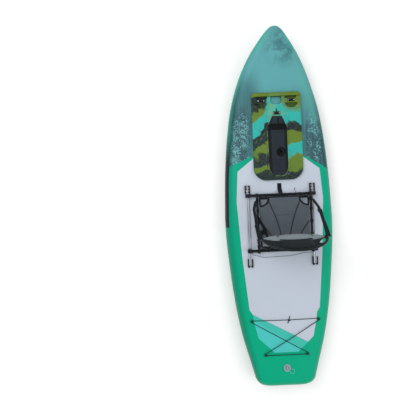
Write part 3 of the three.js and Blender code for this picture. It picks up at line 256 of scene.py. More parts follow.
def make_piece(name, mesh, body, slot, material, *replaced):
    mesh.materials.clear()
    mesh.materials.append(material)
    made = add_object(name, mesh)
    if body:
        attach(made, body)
    if replaced:
        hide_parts(*replaced)
    return made


def smooth_mesh(mesh, angle=0.6):
    mesh.shade_smooth()
    mesh.set_sharp_from_angle(angle=angle)
    return mesh


def mesh_of(bm, name):
    made = bpy.data.meshes.new(name)
    bm.to_mesh(made)
    bm.free()
    return made


def final_mesh(holder):
    return bpy.data.meshes.new_from_object(holder.evaluated_get(bpy.context.evaluated_depsgraph_get()))


def applied(mesh, *modifiers):
    holder = add_object("work_piece", mesh)
    for kind, settings in modifiers:
        modifier = holder.modifiers.new(kind.lower(), kind)
        for key, value in settings.items():
            setattr(modifier, key, value)
    result = final_mesh(holder)
    bpy.data.objects.remove(holder)
    return result


def beveled(mesh, width, segments, angle, **settings):
    return applied(mesh, ("BEVEL", {"width": width, "segments": segments, "limit_method": "ANGLE",
                                    "angle_limit": angle, **settings}))


arc_points = 15
stations = hull_stations(150)
hull_bm = bmesh.new()
rings = []
facts = []
for y in stations:
    ring = []
    for side in (1, -1):
        for i in range(arc_points):
            angle = side * (i / (arc_points - 1) - 0.5) * math.pi
            point = hull_ring_point(y, angle, side)
            ring.append(hull_bm.verts.new(point))
            facts.append((math.sin(angle), point.x / max(hull_half_width(y), narrowest)))
        # points across the flat deck and the flat bottom
        for i in range(1, 8):
            angle = side * math.pi / 2
            start = hull_ring_point(y, angle, side)
            end = hull_ring_point(y, angle, -side)
            point = start.lerp(end, i / 8)
            ring.append(hull_bm.verts.new(point))
            facts.append((math.sin(angle), point.x / max(hull_half_width(y), narrowest)))
    rings.append(ring)
for before, after in zip(rings, rings[1:]):
    for i in range(len(before)):
        j = (i + 1) % len(before)
        hull_bm.faces.new((before[i], before[j], after[j], after[i]))
hull_bm.faces.new(rings[0])
hull_bm.faces.new(list(reversed(rings[-1])))
hull_mesh = mesh_of(hull_bm, "hull_skin")
wall_fact = hull_mesh.attributes.new("wall", "FLOAT", "POINT")
across_fact = hull_mesh.attributes.new("across", "FLOAT", "POINT")
for i, (wall, across) in enumerate(facts):
    wall_fact.data[i].value = wall
    across_fact.data[i].value = across


def well_points(margin):
    half = 0.044 + margin
    rear = 0.344 - margin
    front = 0.824 + margin
    shoulder = front - 0.07
    tip = half * 0.36
    radius = 0.018 + margin
    points = []
    for i in range(9):
        turn = -math.pi / 2 + i / 8 * math.pi / 2
        points.append((half - radius + radius * math.cos(turn), rear + radius + radius * math.sin(turn)))
    points += [(half, shoulder), (tip, front), (-tip, front), (-half, shoulder)]
    for i in range(9):
        turn = math.pi + i / 8 * math.pi / 2
        points.append((-half + radius + radius * math.cos(turn), rear + radius + radius * math.sin(turn)))
    return points


def prism_mesh(name, points, bottom, top):
    made = bpy.data.meshes.new(name)
    count = len(points)
    verts = [(x, y, bottom) for x, y in points] + [(x, y, top) for x, y in points]
    faces = [list(range(count))[::-1], list(range(count, 2 * count))]
    faces += [(i, (i + 1) % count, count + (i + 1) % count, count + i) for i in range(count)]
    made.from_pydata(verts, [], faces)
    return made


def carved(mesh, *cutters):
    holders = []
    steps = []
    for cutter in cutters:
        holder = add_object("cutter", cutter)
        holders.append(holder)
        steps.append(("BOOLEAN", {"operation": "DIFFERENCE", "solver": "EXACT", "object": holder}))
    result = applied(mesh, *steps)
    for holder in holders:
        bpy.data.objects.remove(holder)
    return result


def circle_points(x, y, radius, count=48):
    turns = [2 * math.pi * i / count for i in range(count)]
    return [(x + radius * math.cos(t), y + radius * math.sin(t)) for t in turns]


hull_mesh = carved(hull_mesh, prism_mesh("well_cutter", well_points(0.0053), -0.01, 0.21),
                   prism_mesh("valve_cutter", circle_points(0.0, valve_y, 0.0243), 0.153, 0.21))
smooth_mesh(hull_mesh, 0.9)


def node_group(name, kind, inputs, outputs):
    made = bpy.data.node_groups.new(name, kind)
    for in_out, sockets in (("INPUT", inputs), ("OUTPUT", outputs)):
        for socket, holds in sockets.items():
            made.interface.new_socket(socket, in_out=in_out, socket_type=f"NodeSocket{holds}")
    return made, made.nodes.new("NodeGroupInput"), made.nodes.new("NodeGroupOutput")


# A group that several plastics, foams and skins share: fine grain for bump and a slow change of tone
grain_sockets = {"Grain Scale": "Float", "Cloud Scale": "Float", "Cloud Amount": "Float"}
grain, grain_in, grain_out = node_group("surface_grain", "ShaderNodeTree", grain_sockets,
                                        {"Height": "Float", "Tone": "Float"})
grain_place = object_place(grain)
fine = add_node(grain, "ShaderNodeTexNoise",
                {"Vector": grain_place, "Scale": grain_in.outputs["Grain Scale"], "Detail": 2.0})
cloud = add_node(grain, "ShaderNodeTexNoise",
                 {"Vector": grain_place, "Scale": grain_in.outputs["Cloud Scale"], "Detail": 5.0,
                  "Roughness": 0.6})
tone = (Value(cloud.outputs["Fac"]) - 0.5) * grain_in.outputs["Cloud Amount"] + 1.0
grain.links.new(fine.outputs["Fac"], grain_out.inputs["Height"])
grain.links.new(tone.socket, grain_out.inputs["Tone"])


def grained(tree, shader, color, grain_scale, cloud_amount, strength, distance=0.0004, cloud_scale=6.0,
            extra_height=None):
    made = add_node(tree, "ShaderNodeGroup", node_tree=grain)
    made.inputs["Grain Scale"].default_value = grain_scale
    made.inputs["Cloud Scale"].default_value = cloud_scale
    made.inputs["Cloud Amount"].default_value = cloud_amount
    toned = add_node(tree, "ShaderNodeVectorMath", {0: color, 1: made.outputs["Tone"]}, operation="MULTIPLY")
    tree.links.new(toned.outputs[0], shader.inputs["Base Color"])
    height = made.outputs["Height"]
    if extra_height is not None:
        height = Value(height) + extra_height
    bump = add_node(tree, "ShaderNodeBump", {"Height": height, "Strength": strength, "Distance": distance})
    tree.links.new(bump.outputs["Normal"], shader.inputs["Normal"])


def noise_at(vector, scale, detail=4.0, roughness=0.55, stretch=None):
    tree = vector.id_data
    if stretch is not None:
        vector = add_node(tree, "ShaderNodeMapping", {"Vector": vector, "Scale": stretch}).outputs["Vector"]
    return Value(add_node(tree, "ShaderNodeTexNoise", {"Vector": vector, "Scale": scale, "Detail": detail,
                                                       "Roughness": roughness}).outputs["Fac"])


skin, skin_tree, skin_shader = new_material("printed_skin", 0.38)
place = object_place(skin_tree)
skin_x, skin_y, _ = axes_of(place)
wall_at, across_at = [Value(add_node(skin_tree, "ShaderNodeAttribute", attribute_name=name).outputs["Fac"])
                      for name in ("wall", "across")]
off_centre = abs(skin_x)
toward_edge = abs(across_at)
clouds = noise_at(place, 3.2, 6.0, 0.6)
streaks = noise_at(place, 1.0, 5.0, 0.65, (60.0, 3.0, 3.0))
# slate gathers towards the pod and the edges, and is brushed lengthways
leaning_y = across_at * 0.11 + skin_y
toward_pod = leaning_y.ramp(1.3, 0.62)
edge_share = toward_edge.ramp(0.22, 0.72)
brushed = (streaks - 0.5) * 1.2 + edge_share
slate_share = toward_pod.math("MULTIPLY", brushed, clamp=True)
slate_share = (clouds - 0.5).math("MULTIPLY_ADD", 0.5, slate_share, clamp=True)
bow_print = blend_colors(slate_share, linear(95, 165, 169), linear(60, 88, 97))
# darker smoky patches: a mottled one beside the tip and a soft one off the pod's port corner
mottle = noise_at(place, 11.0, 7.0, 0.7)
for middle, reach, low, high, strength in (((0.085, 1.455, 0.28), 0.24, 0.38, 0.60, 0.85),
                                           ((-0.275, 1.075, 0.22), 0.19, 0.20, 0.50, 0.60)):
    patch = add_node(skin_tree, "ShaderNodeVectorMath", {0: place, 1: middle}, operation="DISTANCE")
    patch_share = Value(patch.outputs["Value"]).ramp(reach, 0.03) * mottle.ramp(low, high)
    bow_print = blend_colors(patch_share * strength, bow_print, linear(58, 108, 114))
# foam flecks at both sides of the pod
spray = add_node(skin_tree, "ShaderNodeTexNoise", {"Vector": place, "Scale": 60.0, "Detail": 3.0})
sprayed = add_node(skin_tree, "ShaderNodeVectorMath",
                   {0: spray.outputs["Color"], 1: (0.02, 0.03, 0.0), 2: place}, operation="MULTIPLY_ADD")
cells = add_node(skin_tree, "ShaderNodeTexVoronoi", {"Vector": sprayed.outputs[0], "Scale": 125.0,
                                                     "Randomness": 1.0})
speck_size = add_node(skin_tree, "ShaderNodeSeparateColor", {"Color": cells.outputs["Color"]}).outputs["Red"]
density = noise_at(place, 7.0, 7.0, 0.78)
fleck_area = skin_y.ramp(1.02, 0.74) * off_centre.ramp(0.19, 0.3)
port_more = skin_x.math("SIGN") * -0.05 + density
fleck_area = fleck_area * port_more.ramp(0.34, 0.57)
fleck_limit = fleck_area * speck_size * 1.1
fleck = (fleck_limit - cells.outputs["Distance"]).ramp(0.0, 0.12)
bow_print = blend_colors(fleck * 0.75, bow_print, linear(122, 190, 190))
# painted shade: the rounded top of the rail from the pod forward is darkened to dark green
rail_top_shade = toward_edge.ramp(0.83, 0.95) * toward_pod
# painted highlight: a lighter mint streak along the starboard rail towards the bow
starboard_rail_highlight = across_at.ramp(0.62, 0.8) * skin_y.ramp(0.7, 0.95)
bow_print = blend_colors(starboard_rail_highlight * 0.45, bow_print, linear(88, 176, 166))
bow_print = blend_colors(rail_top_shade * 0.9, bow_print, linear(22, 80, 76))
# painted highlight: a bright mint line along the rails near the nose and round the nose tip
nose_rail_highlight = toward_edge.ramp(0.55, 0.82) * skin_y.ramp(1.36, 1.54)
nose_rail_highlight = nose_rail_highlight.math("MAXIMUM", skin_y.ramp(1.59, 1.625))
bow_print = blend_colors(nose_rail_highlight * 0.8, bow_print, linear(60, 186, 162))
# the green part starts at a slanted line that meets the walls further aft than the pod
lean = skin_x.math("SIGN") * 0.1 + 0.5
line = 0.5 - lean * (off_centre - 0.2)
green_share = (line - skin_y).ramp(-0.0015, 0.0015)
green = blend_colors(skin_y.ramp(0.5, -0.9), linear(2, 166, 132), linear(0, 168, 128))
# painted shade: the green is darkened along the port rail only
port_shade = across_at.ramp(-0.78, -0.96) * 0.55
green = blend_colors(port_shade, green, linear(0, 122, 92))
printed = blend_colors(green_share, bow_print, green)
# side walls, their seam line and a plain dark panel amidships, and a pale underside
wall_share = wall_at.ramp(0.66, 0.63)
wall_green = blend_colors(green_share, linear(48, 148, 130), linear(2, 150, 116))
printed = blend_colors(wall_share, printed, wall_green)
panel = skin_y.ramp(-0.152, -0.148) * skin_y.ramp(0.74, 0.4)
panel_edge = skin_x.ramp(0.0, -0.001) * 0.12 + 0.6
from_edge = panel_edge - abs(wall_at)
panel = panel * from_edge.ramp(0.0, 0.02)
printed = blend_colors(panel, printed, linear(26, 38, 38))
printed = blend_colors(wall_at.ramp(-0.78, -0.8), printed, linear(196, 208, 210))
stitch_dimples = add_node(skin_tree, "ShaderNodeTexVoronoi",
                          {"Vector": place, "Scale": 110.0, "Randomness": 0.25})
grained(skin_tree, skin_shader, printed, 1400.0, 0.1, 0.25, 0.0004, 5.0,
        Value(stitch_dimples.outputs["Distance"]) * 0.5)
skin_shader.inputs["Specular IOR Level"].default_value = 0.10
make_piece("hull_skin_dressed", hull_mesh, "hull", "hull_skin", skin, "hull_chamber")


# Seam tapes: bands of coated fabric glued round the top and bottom edges of the wall.
# Each is a thin strip that follows the hull's own curve and stands a millimetre proud.
def tape_mesh(name, low, high):
    proud, rows = 0.0011, 4
    tape = bmesh.new()
    columns = []
    path = [(y, 1) for y in stations[1:-1]] + [(y, -1) for y in reversed(stations[1:-1])]
    for y, side in path:
        column = []
        for i in range(rows + 1):
            angle = low + (high - low) * i / rows
            lifted = proud if 0 < i < rows else -0.0006
            column.append(tape.verts.new(hull_ring_point(y, angle, side, lifted)))
        columns.append(column)
    for k in range(len(columns)):
        before, after = columns[k], columns[(k + 1) % len(columns)]
        for i in range(rows):
            tape.faces.new((before[i], after[i], after[i + 1], before[i + 1]))
    bmesh.ops.recalc_face_normals(tape, faces=tape.faces)
    return smooth_mesh(mesh_of(tape, name), 0.5)


tape_skin, tape_tree, tape_shader = new_material("seam_tape", 0.42)
tape_x, tape_y, _ = axes_of(object_place(tape_tree))
# the tape's own teal is lighter towards the nose as a painted highlight along the bow's rail
bow_tape_with_highlight = blend_colors(tape_y.ramp(1.3, 0.9), linear(56, 166, 148), linear(30, 108, 100))
tape_color = blend_colors(tape_y.ramp(0.42, 0.34), bow_tape_with_highlight, linear(2, 138, 106))
# the dark side panel laps over the tape to port
lapped = tape_y.ramp(-0.152, -0.148) * tape_y.ramp(0.74, 0.4) * tape_x.ramp(0.0, -0.001)
tape_color = blend_colors(lapped, tape_color, linear(8, 24, 22))
grained(tape_tree, tape_shader, tape_color, 1600.0, 0.12, 0.2)
for name, wall_low, wall_high in (("seam_tape_upper", 0.36, 0.68), ("seam_tape_lower", -0.72, -0.36)):
    make_piece(name, tape_mesh(name, wall_low, wall_high), "hull", "hull_skin", tape_skin)


# Deck pads: 5 mm foam sheets glued to the deck, pale behind the pod and mint at the stern.
# Their edges are rounded by the cutter and their faces are pressed with a fine lengthways ribbing.
def packed_shape(node):
    bm = bmesh.new()
    bm.from_mesh(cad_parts[node].data)
    bmesh.ops.remove_doubles(bm, verts=bm.verts, dist=0.00002)
    return bm


def dressed_piece(name, node, width, segments, body, slot, material):
    bm = packed_shape(node)
    bmesh.ops.dissolve_limit(bm, angle_limit=0.03, verts=bm.verts, edges=bm.edges)
    mesh = smooth_mesh(beveled(mesh_of(bm, node), width, segments, 0.5, use_clamp_overlap=True))
    make_piece(name, mesh, body, slot, material, node)


# one tone over another in clouds or streaks: the cloud is a scale, detail, roughness and stretch,
# and the wear says where the second tone starts, where it is full and how strong it gets
def mottled_material(name, roughness, cloud, tones, grains, metallic=0.0, wear=None):
    made, tree, shader = new_material(name, roughness, metallic)
    share = noise_at(object_place(tree), *cloud)
    if wear is not None:
        share = share.ramp(wear[0], wear[1]) * wear[2]
    grained(tree, shader, blend_colors(share, *tones), *grains)
    return made


def foam_material(name, tones_at):
    made, tree, shader = new_material(name, 0.82)
    spot = object_place(tree)
    x, y, _ = axes_of(spot)
    diagonals = []
    for sign in (1.0, -1.0):
        run = x * (sign * 2.0) + y
        diagonals.append(abs((run * 260.0).math("SINE")))
    groove = diagonals[0].math("MINIMUM", diagonals[1]).math("POWER", 0.5)
    grained(tree, shader, tones_at(spot), 1100.0, 0.05, 0.35, 0.0005, 3.0, groove)
    shader.inputs["Sheen Weight"].default_value = 0.1
    return made


def pale_tones(spot):
    pale = linear(193, 202, 215)
    return blend_colors(noise_at(spot, 2.2), [c * 0.97 for c in pale], pale)


def mint_tones(spot):
    # a darker band lies along the slanted joint
    x, y, _ = axes_of(spot)
    from_joint = x * 0.62 + y
    return blend_colors(from_joint.ramp(-1.168, -1.172), linear(62, 189, 172), linear(74, 196, 190))


pale_foam = foam_material("pale_foam", pale_tones)
mint_foam = foam_material("mint_foam", mint_tones)
dressed_piece("main_pad_foam", "main_deck_pad", 0.0018, 3, "hull", "pale_pad", pale_foam)
dressed_piece("stern_pad_foam", "stern_deck_pad", 0.0018, 3, "hull", "mint_pad", mint_foam)


# Pod: one rotomoulded piece, marbled in olive, turquoise and smoky black, with a lip, pockets and a trunk.
# The swirl comes from three colours of powder that melt into each other, so its borders are soft.
swirl, swirl_tree, swirl_shader = new_material("marbled_plastic", 0.42)
swirl_place = object_place(swirl_tree)
plain_x, plain_y, plain_z = axes_of(swirl_place)
drift = add_node(swirl_tree, "ShaderNodeTexNoise", {"Vector": swirl_place, "Scale": 5.0, "Detail": 3.0})
centred = add_node(swirl_tree, "ShaderNodeVectorMath", {0: drift.outputs["Color"], 1: (0.5, 0.5, 0.5)},
                   operation="SUBTRACT")
marbled = add_node(swirl_tree, "ShaderNodeVectorMath",
                   {0: centred.outputs[0], 1: (0.30, 0.34, 0.10), 2: swirl_place}, operation="MULTIPLY_ADD")
marbled_x, marbled_y, _ = axes_of(marbled.outputs[0])
olive, turquoise, smoky = linear(98, 124, 38), linear(42, 176, 168), linear(27, 38, 41)
poured = add_node(swirl_tree, "ShaderNodeMapRange",
                  {"Value": marbled_y, "From Min": 1.053, "From Max": 0.268})
poured = marbled_x * 0.22 + poured.outputs["Result"]


def poured_bands(bands):
    soft = 0.011
    bar = add_node(swirl_tree, "ShaderNodeValToRGB", {"Fac": poured})
    bar.color_ramp.elements[0].color = (*bands[0][1], 1.0)
    bar.color_ramp.elements[1].color = (*bands[-1][1], 1.0)
    for (_, before), (start, after) in zip(bands, bands[1:]):
        bar.color_ramp.elements.new(start - soft).color = (*before, 1.0)
        bar.color_ramp.elements.new(start + soft).color = (*after, 1.0)
    return bar.outputs["Color"]


port_bands = poured_bands([(0.0, olive), (0.03, smoky), (0.145, olive), (0.235, turquoise), (0.47, smoky),
                           (0.565, olive), (0.66, smoky), (0.74, olive), (0.85, smoky)])
# black runs aslant below the port rib
below_rib = marbled_x * 1.4 + 0.9 - marbled_y
aslant = below_rib.ramp(-0.008, 0.008) * poured.ramp(0.585, 0.565)
port_bands = blend_colors(aslant, port_bands, smoky)
starboard_bands = poured_bands([(0.0, olive), (0.16, turquoise), (0.37, smoky), (0.49, olive),
                                (0.685, turquoise), (0.83, olive), (0.94, smoky)])
side_share = marbled_x.ramp(-0.02, 0.02)
swirled = blend_colors(side_share, port_bands, starboard_bands)
pod_middle = abs(marbled_x).ramp(0.105, 0.075) * poured.ramp(0.3, 0.24)
swirled = blend_colors(pod_middle, swirled, turquoise)
# olive streaks starboard of the hand hold, and a thinner wash of it ahead of the plug
by_hold = marbled_x.ramp(0.035, 0.055) * marbled_y.ramp(0.9, 0.94)
wash = noise_at(swirl_place, 13.0, 5.0, 0.65).ramp(0.4, 0.62) * abs(marbled_x).ramp(0.09, 0.05) * 0.75
swirled = blend_colors(by_hold * 0.8, swirled, olive)
swirled = blend_colors(wash * pod_middle, swirled, linear(128, 164, 92))
smoke = noise_at(swirl_place, 26.0, 7.0, 0.72)
vein = abs(smoke - 0.5).ramp(0.035, 0.0)
swirled = blend_colors(vein * 0.24, swirled, linear(92, 128, 96))
swirled = blend_colors(smoke.ramp(0.6, 0.72) * 0.55, swirled, smoky)
lip_share = plain_y.ramp(1.01, 1.016)
swirled = blend_colors(lip_share * 0.9, swirled, olive)
# painted shade: the floors of the pockets and scoops are darkened, near black to port and dark olive to
# starboard
in_recess = (plain_z.ramp(0.2255, 0.2235) * plain_z.ramp(0.2035, 0.2045) * abs(plain_x).ramp(0.212, 0.206)
             * plain_y.ramp(0.9, 0.92))
recess_shade_color = blend_colors(side_share, linear(14, 24, 31), linear(38, 52, 24))
swirled = blend_colors(in_recess * 0.72, swirled, recess_shade_color)
# painted highlight: the tops of the ribs are lightened in patches
raised = plain_z.ramp(0.228, 0.2305) * plain_y.ramp(1.012, 1.008)
rib_top_highlight = noise_at(swirl_place, 16.0, 5.0).ramp(0.42, 0.62) * 0.36
swirled = blend_colors(raised * rib_top_highlight, swirled, linear(138, 170, 120))
grained(swirl_tree, swirl_shader, swirled, 1500.0, 0.25, 0.25, 0.0004, 16.0)
dressed_piece("pod_shell", "drive_pod", 0.0035, 3, "hull", "pod_swirl", swirl)


# Moulded ribs on the pod: one frames the plug's nose, another runs aslant to the port side,
# and a border follows the whole edge. They are drawn from the same shell, so they share its swirl.
def tube_mesh(name, path, radius, sides, closed=False, flat=1.0, up=Vector((0, 0, 1))):
    path = [Vector(p) for p in path]
    bm = bmesh.new()
    uv_layer = bm.loops.layers.uv.new("run")
    rings = []
    lengths = [0.0]
    count = len(path)
    for k in range(count):
        before = path[k - 1] if (k > 0 or closed) else path[k]
        after = path[(k + 1) % count] if (k < count - 1 or closed) else path[k]
        along = (after - before).normalized()
        out = along.cross(up)
        if out.length < 0.001:
            out = along.cross(Vector((1, 0, 0)))
        out.normalize()
        lift = out.cross(along).normalized()
        ring = []
        for i in range(sides):
            turn = 2 * math.pi * i / sides
            sideways, upward = radius * math.cos(turn), radius * flat * math.sin(turn)
            ring.append(bm.verts.new(path[k] + out * sideways + lift * upward))
        rings.append(ring)
        lengths.append(lengths[-1] + (path[(k + 1) % count] - path[k]).length)
    spans = count if closed else count - 1
    for k in range(spans):
        before, after = rings[k], rings[(k + 1) % count]
        for i in range(sides):
            j = (i + 1) % sides
            face = bm.faces.new((before[i], before[j], after[j], after[i]))
            for loop, (u, v) in zip(face.loops, ((i, k), (i + 1, k), (i + 1, k + 1), (i, k + 1))):
                loop[uv_layer].uv = (u / sides, lengths[v])
    if not closed:
        bm.faces.new(rings[0])
        bm.faces.new(list(reversed(rings[-1])))
    bmesh.ops.recalc_face_normals(bm, faces=bm.faces)
    return smooth_mesh(mesh_of(bm, name), 0.9)


def smooth_path(points, steps=8):
    points = [Vector(p) for p in points]
    last = len(points) - 1
    out = []
    for k in range(last):
        a, b, c, d = points[max(k - 1, 0)], points[k], points[k + 1], points[min(k + 2, last)]
        for i in range(steps):
            t = i / steps
            out.append(0.5 * (2 * b + (c - a) * t + (2 * a - 5 * b + 4 * c - d) * t * t
                              + (3 * b - a - 3 * c + d) * t ** 3))
    out.append(points[-1])
    return out


def joined_mesh(name, *meshes):
    bm = bmesh.new()
    for mesh in meshes:
        bm.from_mesh(mesh)
    return smooth_mesh(mesh_of(bm, name), 0.7)


pod_top = 0.2266
rib_paths = [
    [(-0.062, 1.000), (-0.070, 0.945), (-0.086, 0.890), (-0.092, 0.840), (-0.098, 0.780), (-0.120, 0.722),
     (-0.158, 0.664), (-0.194, 0.612), (-0.206, 0.560), (-0.206, 0.500)],
    [(-0.108, 0.712), (-0.118, 0.682), (-0.148, 0.636), (-0.170, 0.590), (-0.160, 0.530), (-0.114, 0.498)],
    [(0.064, 1.000), (0.072, 0.945), (0.088, 0.880), (0.096, 0.830), (0.120, 0.790), (0.170, 0.760),
     (0.205, 0.745)],
    [(0.104, 0.500), (0.112, 0.440), (0.108, 0.360), (0.080, 0.312)],
    [(-0.104, 0.500), (-0.112, 0.440), (-0.108, 0.360), (-0.080, 0.312)],
]
ribs = [tube_mesh("rib", smooth_path([(x, y, pod_top) for x, y in path]), 0.0055, 12, flat=0.8)
        for path in rib_paths]
make_piece("pod_ribs", joined_mesh("pod_ribs", *ribs), "hull", "pod_swirl", swirl)


# Pad eyes: three moulded loops on the pod for clips, each on a flat foot with two screws.
# The grained black plastic is the same as the seat fittings'.
black_plastic = mottled_material("grained_black_plastic", 0.46, (70.0, 6.0, 0.7),
                                 (linear(19, 25, 30), linear(54, 62, 68)),
                                 (2600.0, 0.25, 0.45, 0.0003, 14.0), wear=(0.62, 0.80, 0.35))
for eye in ("left", "right", "centre"):
    dressed_piece(f"pad_eye_{eye}", f"pod_eye_{eye}", 0.0016, 3, "hull", "black_plastic", black_plastic)


# Screws: stainless pan heads with a cross recess, set out over the pad eyes and the rail ends.
# One head is made in mesh code and a node tree sets a copy at each place.
steel = mottled_material("brushed_steel", 0.28, (1.0, 3.0, 0.6, (900.0, 900.0, 120.0)),
                         (linear(176, 180, 184), linear(214, 217, 220)), (3000.0, 0.08, 0.15, 0.0001),
                         metallic=1.0)


def screw_head_mesh(radius, height):
    bm = bmesh.new()
    segments = 24
    profile = [(1.0, 0.0), (1.0, 0.35), (0.9, 0.7), (0.7, 0.92), (0.4, 1.0)]
    rows = []
    for share, rise in profile:
        rows.append([bm.verts.new((radius * share * math.cos(2 * math.pi * i / segments),
                                   radius * share * math.sin(2 * math.pi * i / segments), height * rise))
                     for i in range(segments)])
    for low, high in zip(rows, rows[1:]):
        for i in range(segments):
            j = (i + 1) % segments
            bm.faces.new((low[i], low[j], high[j], high[i]))
    bm.faces.new(list(reversed(rows[0])))
    # the cross: every sixth pair of rim points reaches in, and the middle drops
    centre = bm.verts.new((0, 0, height * 0.45))
    inner = []
    for i in range(segments):
        reach_out = 1.0 if i % 6 in (0, 1) else 0.45
        turn = 2 * math.pi * i / segments
        arm = radius * 0.36 * reach_out
        inner.append(bm.verts.new((arm * math.cos(turn), arm * math.sin(turn), height * 0.6)))
    for i in range(segments):
        j = (i + 1) % segments
        bm.faces.new((rows[-1][i], rows[-1][j], inner[j], inner[i]))
        bm.faces.new((inner[i], inner[j], centre))
    bmesh.ops.recalc_face_normals(bm, faces=bm.faces)
    return smooth_mesh(mesh_of(bm, "screw_head"), 0.8)


copy_sockets = {"Geometry": "Geometry", "Copied Piece": "Object", "Turn": "Float", "Finish": "Material"}
set_out, spots, laid = node_group("set_out_copies", "GeometryNodeTree", copy_sockets,
                                  {"Geometry": "Geometry"})
as_points = add_node(set_out, "GeometryNodeMeshToPoints", {"Mesh": spots.outputs["Geometry"]})
pattern = add_node(set_out, "GeometryNodeObjectInfo", {"Object": spots.outputs["Copied Piece"]})
turned = add_node(set_out, "ShaderNodeCombineXYZ", {"Z": spots.outputs["Turn"]})
copies = add_node(set_out, "GeometryNodeInstanceOnPoints",
                  {"Points": as_points.outputs[0], "Instance": pattern.outputs["Geometry"],
                   "Rotation": turned.outputs[0]})
real = add_node(set_out, "GeometryNodeRealizeInstances", {"Geometry": copies.outputs[0]})
coated = add_node(set_out, "GeometryNodeSetMaterial", {"Geometry": real.outputs[0],
                                                       "Material": spots.outputs["Finish"]})
set_out.links.new(coated.outputs[0], laid.inputs["Geometry"])


def run_group(name, mesh, group, values):
    holder = add_object(name, mesh)
    modifier = holder.modifiers.new(name, "NODES")
    modifier.node_group = group
    sockets = {item.name: item.identifier for item in group.interface.items_tree if item.in_out == "INPUT"}
    for socket, value in values.items():
        modifier[sockets[socket]] = value
    result = final_mesh(holder)
    bpy.data.objects.remove(holder)
    return smooth_mesh(result, 0.8)


def set_out_copies(name, pattern_mesh, places, turn, finish):
    pattern_object = add_object("pattern", pattern_mesh)
    cloud_mesh = bpy.data.meshes.new(name)
    cloud_mesh.from_pydata(places, [], [])
    result = run_group(name, cloud_mesh, set_out,
                       {"Copied Piece": pattern_object, "Turn": turn, "Finish": finish})
    bpy.data.objects.remove(pattern_object)
    return result


eye_places = ((-0.135, 0.979), (0.135, 0.979), (0.0, 0.866))
eye_foot_top = 0.2318
rail_x, rail_stop_top = 0.292, 0.2246
screw_spots = [(x + side * 0.025, y, eye_foot_top) for x, y in eye_places for side in (-1, 1)]
screw_spots += [(side * rail_x, y, rail_stop_top) for side in (-1, 1) for y in (0.2198, -0.5058)]
make_piece("pan_head_screws",
           set_out_copies("pan_head_screws", screw_head_mesh(0.0058, 0.0032), screw_spots, 0.5, steel),
           "hull", "steel", steel)
bolt_spots = [(side * rail_x, y, rail_stop_top) for side in (-1, 1) for y in (0.1948, 0.1649)]
make_piece("fork_bolts",
           set_out_copies("fork_bolts", screw_head_mesh(0.0066, 0.0042), bolt_spots, 0.2, steel),
           "hull", "steel", steel)


# Well plug: a blow-moulded stopper for the drive well, with a bottle cup and a finger slot at its nose.
# It lies on a rubber seal, and its long plate is raised over the deck of the pod.
plug_plastic, plug_tree, plug_shader = new_material("plug_plastic", 0.36)
plug_place = object_place(plug_tree)
plug_x, plug_y, plug_z = axes_of(plug_place)
band = plug_y.ramp(0.7105, 0.7125) * plug_y.ramp(0.7675, 0.7655) * plug_z.ramp(0.224, 0.2265)
plug_color = blend_colors(noise_at(plug_place, 9.0, 5.0), linear(30, 37, 44), linear(41, 50, 57))
cup_centre = (0.022, 0.512)
cup_gap = add_node(plug_tree, "ShaderNodeVectorMath", {0: plug_place, 1: (*cup_centre, 0.22)},
                   operation="DISTANCE")
# painted shade: the inside of the bottle cup is darkened
cup_shade = Value(cup_gap.outputs["Value"]).ramp(0.046, 0.04)
flange_share = abs(plug_x).ramp(0.056, 0.061)
plug_color = blend_colors(flange_share * 0.7, plug_color, linear(14, 20, 24))
plug_color = blend_colors(band, plug_color, linear(9, 14, 17))
plug_color = blend_colors(cup_shade, plug_color, linear(16, 27, 31))
grained(plug_tree, plug_shader, plug_color, 2200.0, 0.15, 0.35, 0.0003, 12.0)
plug_tree.links.new((band * -0.14 + 0.38).socket, plug_shader.inputs["Roughness"])
plug_shader.inputs["Specular IOR Level"].default_value = 0.14
dressed_piece("plug_moulding", "well_plug", 0.0028, 3, "plug", "black_plastic", plug_plastic)
plate_points = []
plate_rounding = 0.016
plate_corners = ((0.0425, 0.466, -0.5), (0.0425, 0.690, 0.0), (-0.0425, 0.690, 0.5), (-0.0425, 0.466, 1.0))
for x, y, start in plate_corners:
    for i in range(9):
        turn = (start + i / 16) * math.pi
        plate_points.append((x + plate_rounding * math.cos(turn), y + plate_rounding * math.sin(turn)))
inset_plate = carved(prism_mesh("plug_inset", plate_points, 0.2415, 0.2448),
                     prism_mesh("cup_cutter", circle_points(*cup_centre, 0.0452), 0.23, 0.25))
inset_plate = beveled(inset_plate, 0.0012, 3, 0.5)
make_piece("plug_inset_plate", smooth_mesh(inset_plate), "plug", "black_plastic", plug_plastic)
rim_path = [(x, y, 0.2437) for x, y in circle_points(*cup_centre, 0.0448, 64)]
make_piece("plug_cup_rim", tube_mesh("cup_rim", rim_path, 0.0022, 10, True), "plug", "black_plastic",
           plug_plastic)
side_ribs = []
for offsets, height, radius, stops in (((-0.0775, 0.0775), 0.2322, 0.0032, (0.365, 0.45, 0.55, 0.65, 0.705)),
                                       ((-0.050, 0.0, 0.050), 0.2392, 0.0028, (0.362, 0.395, 0.435))):
    for x in offsets:
        run = smooth_path([(x, y, height) for y in stops], 4)
        side_ribs.append(tube_mesh("rib", run, radius, 12, flat=0.7))
make_piece("plug_side_ribs", joined_mesh("plug_side_ribs", *side_ribs), "plug", "black_plastic", plug_plastic)
rubber = mottled_material("matt_rubber", 0.78, (30.0, 5.0), (linear(20, 24, 27), linear(32, 37, 40)),
                          (1800.0, 0.2, 0.4, 0.0003))


def dress_node(node, material):
    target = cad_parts[node]
    target.data.materials.clear()
    target.data.materials.append(material)


dress_node("pod_gasket", rubber)
dress_node("plug_seal", rubber)


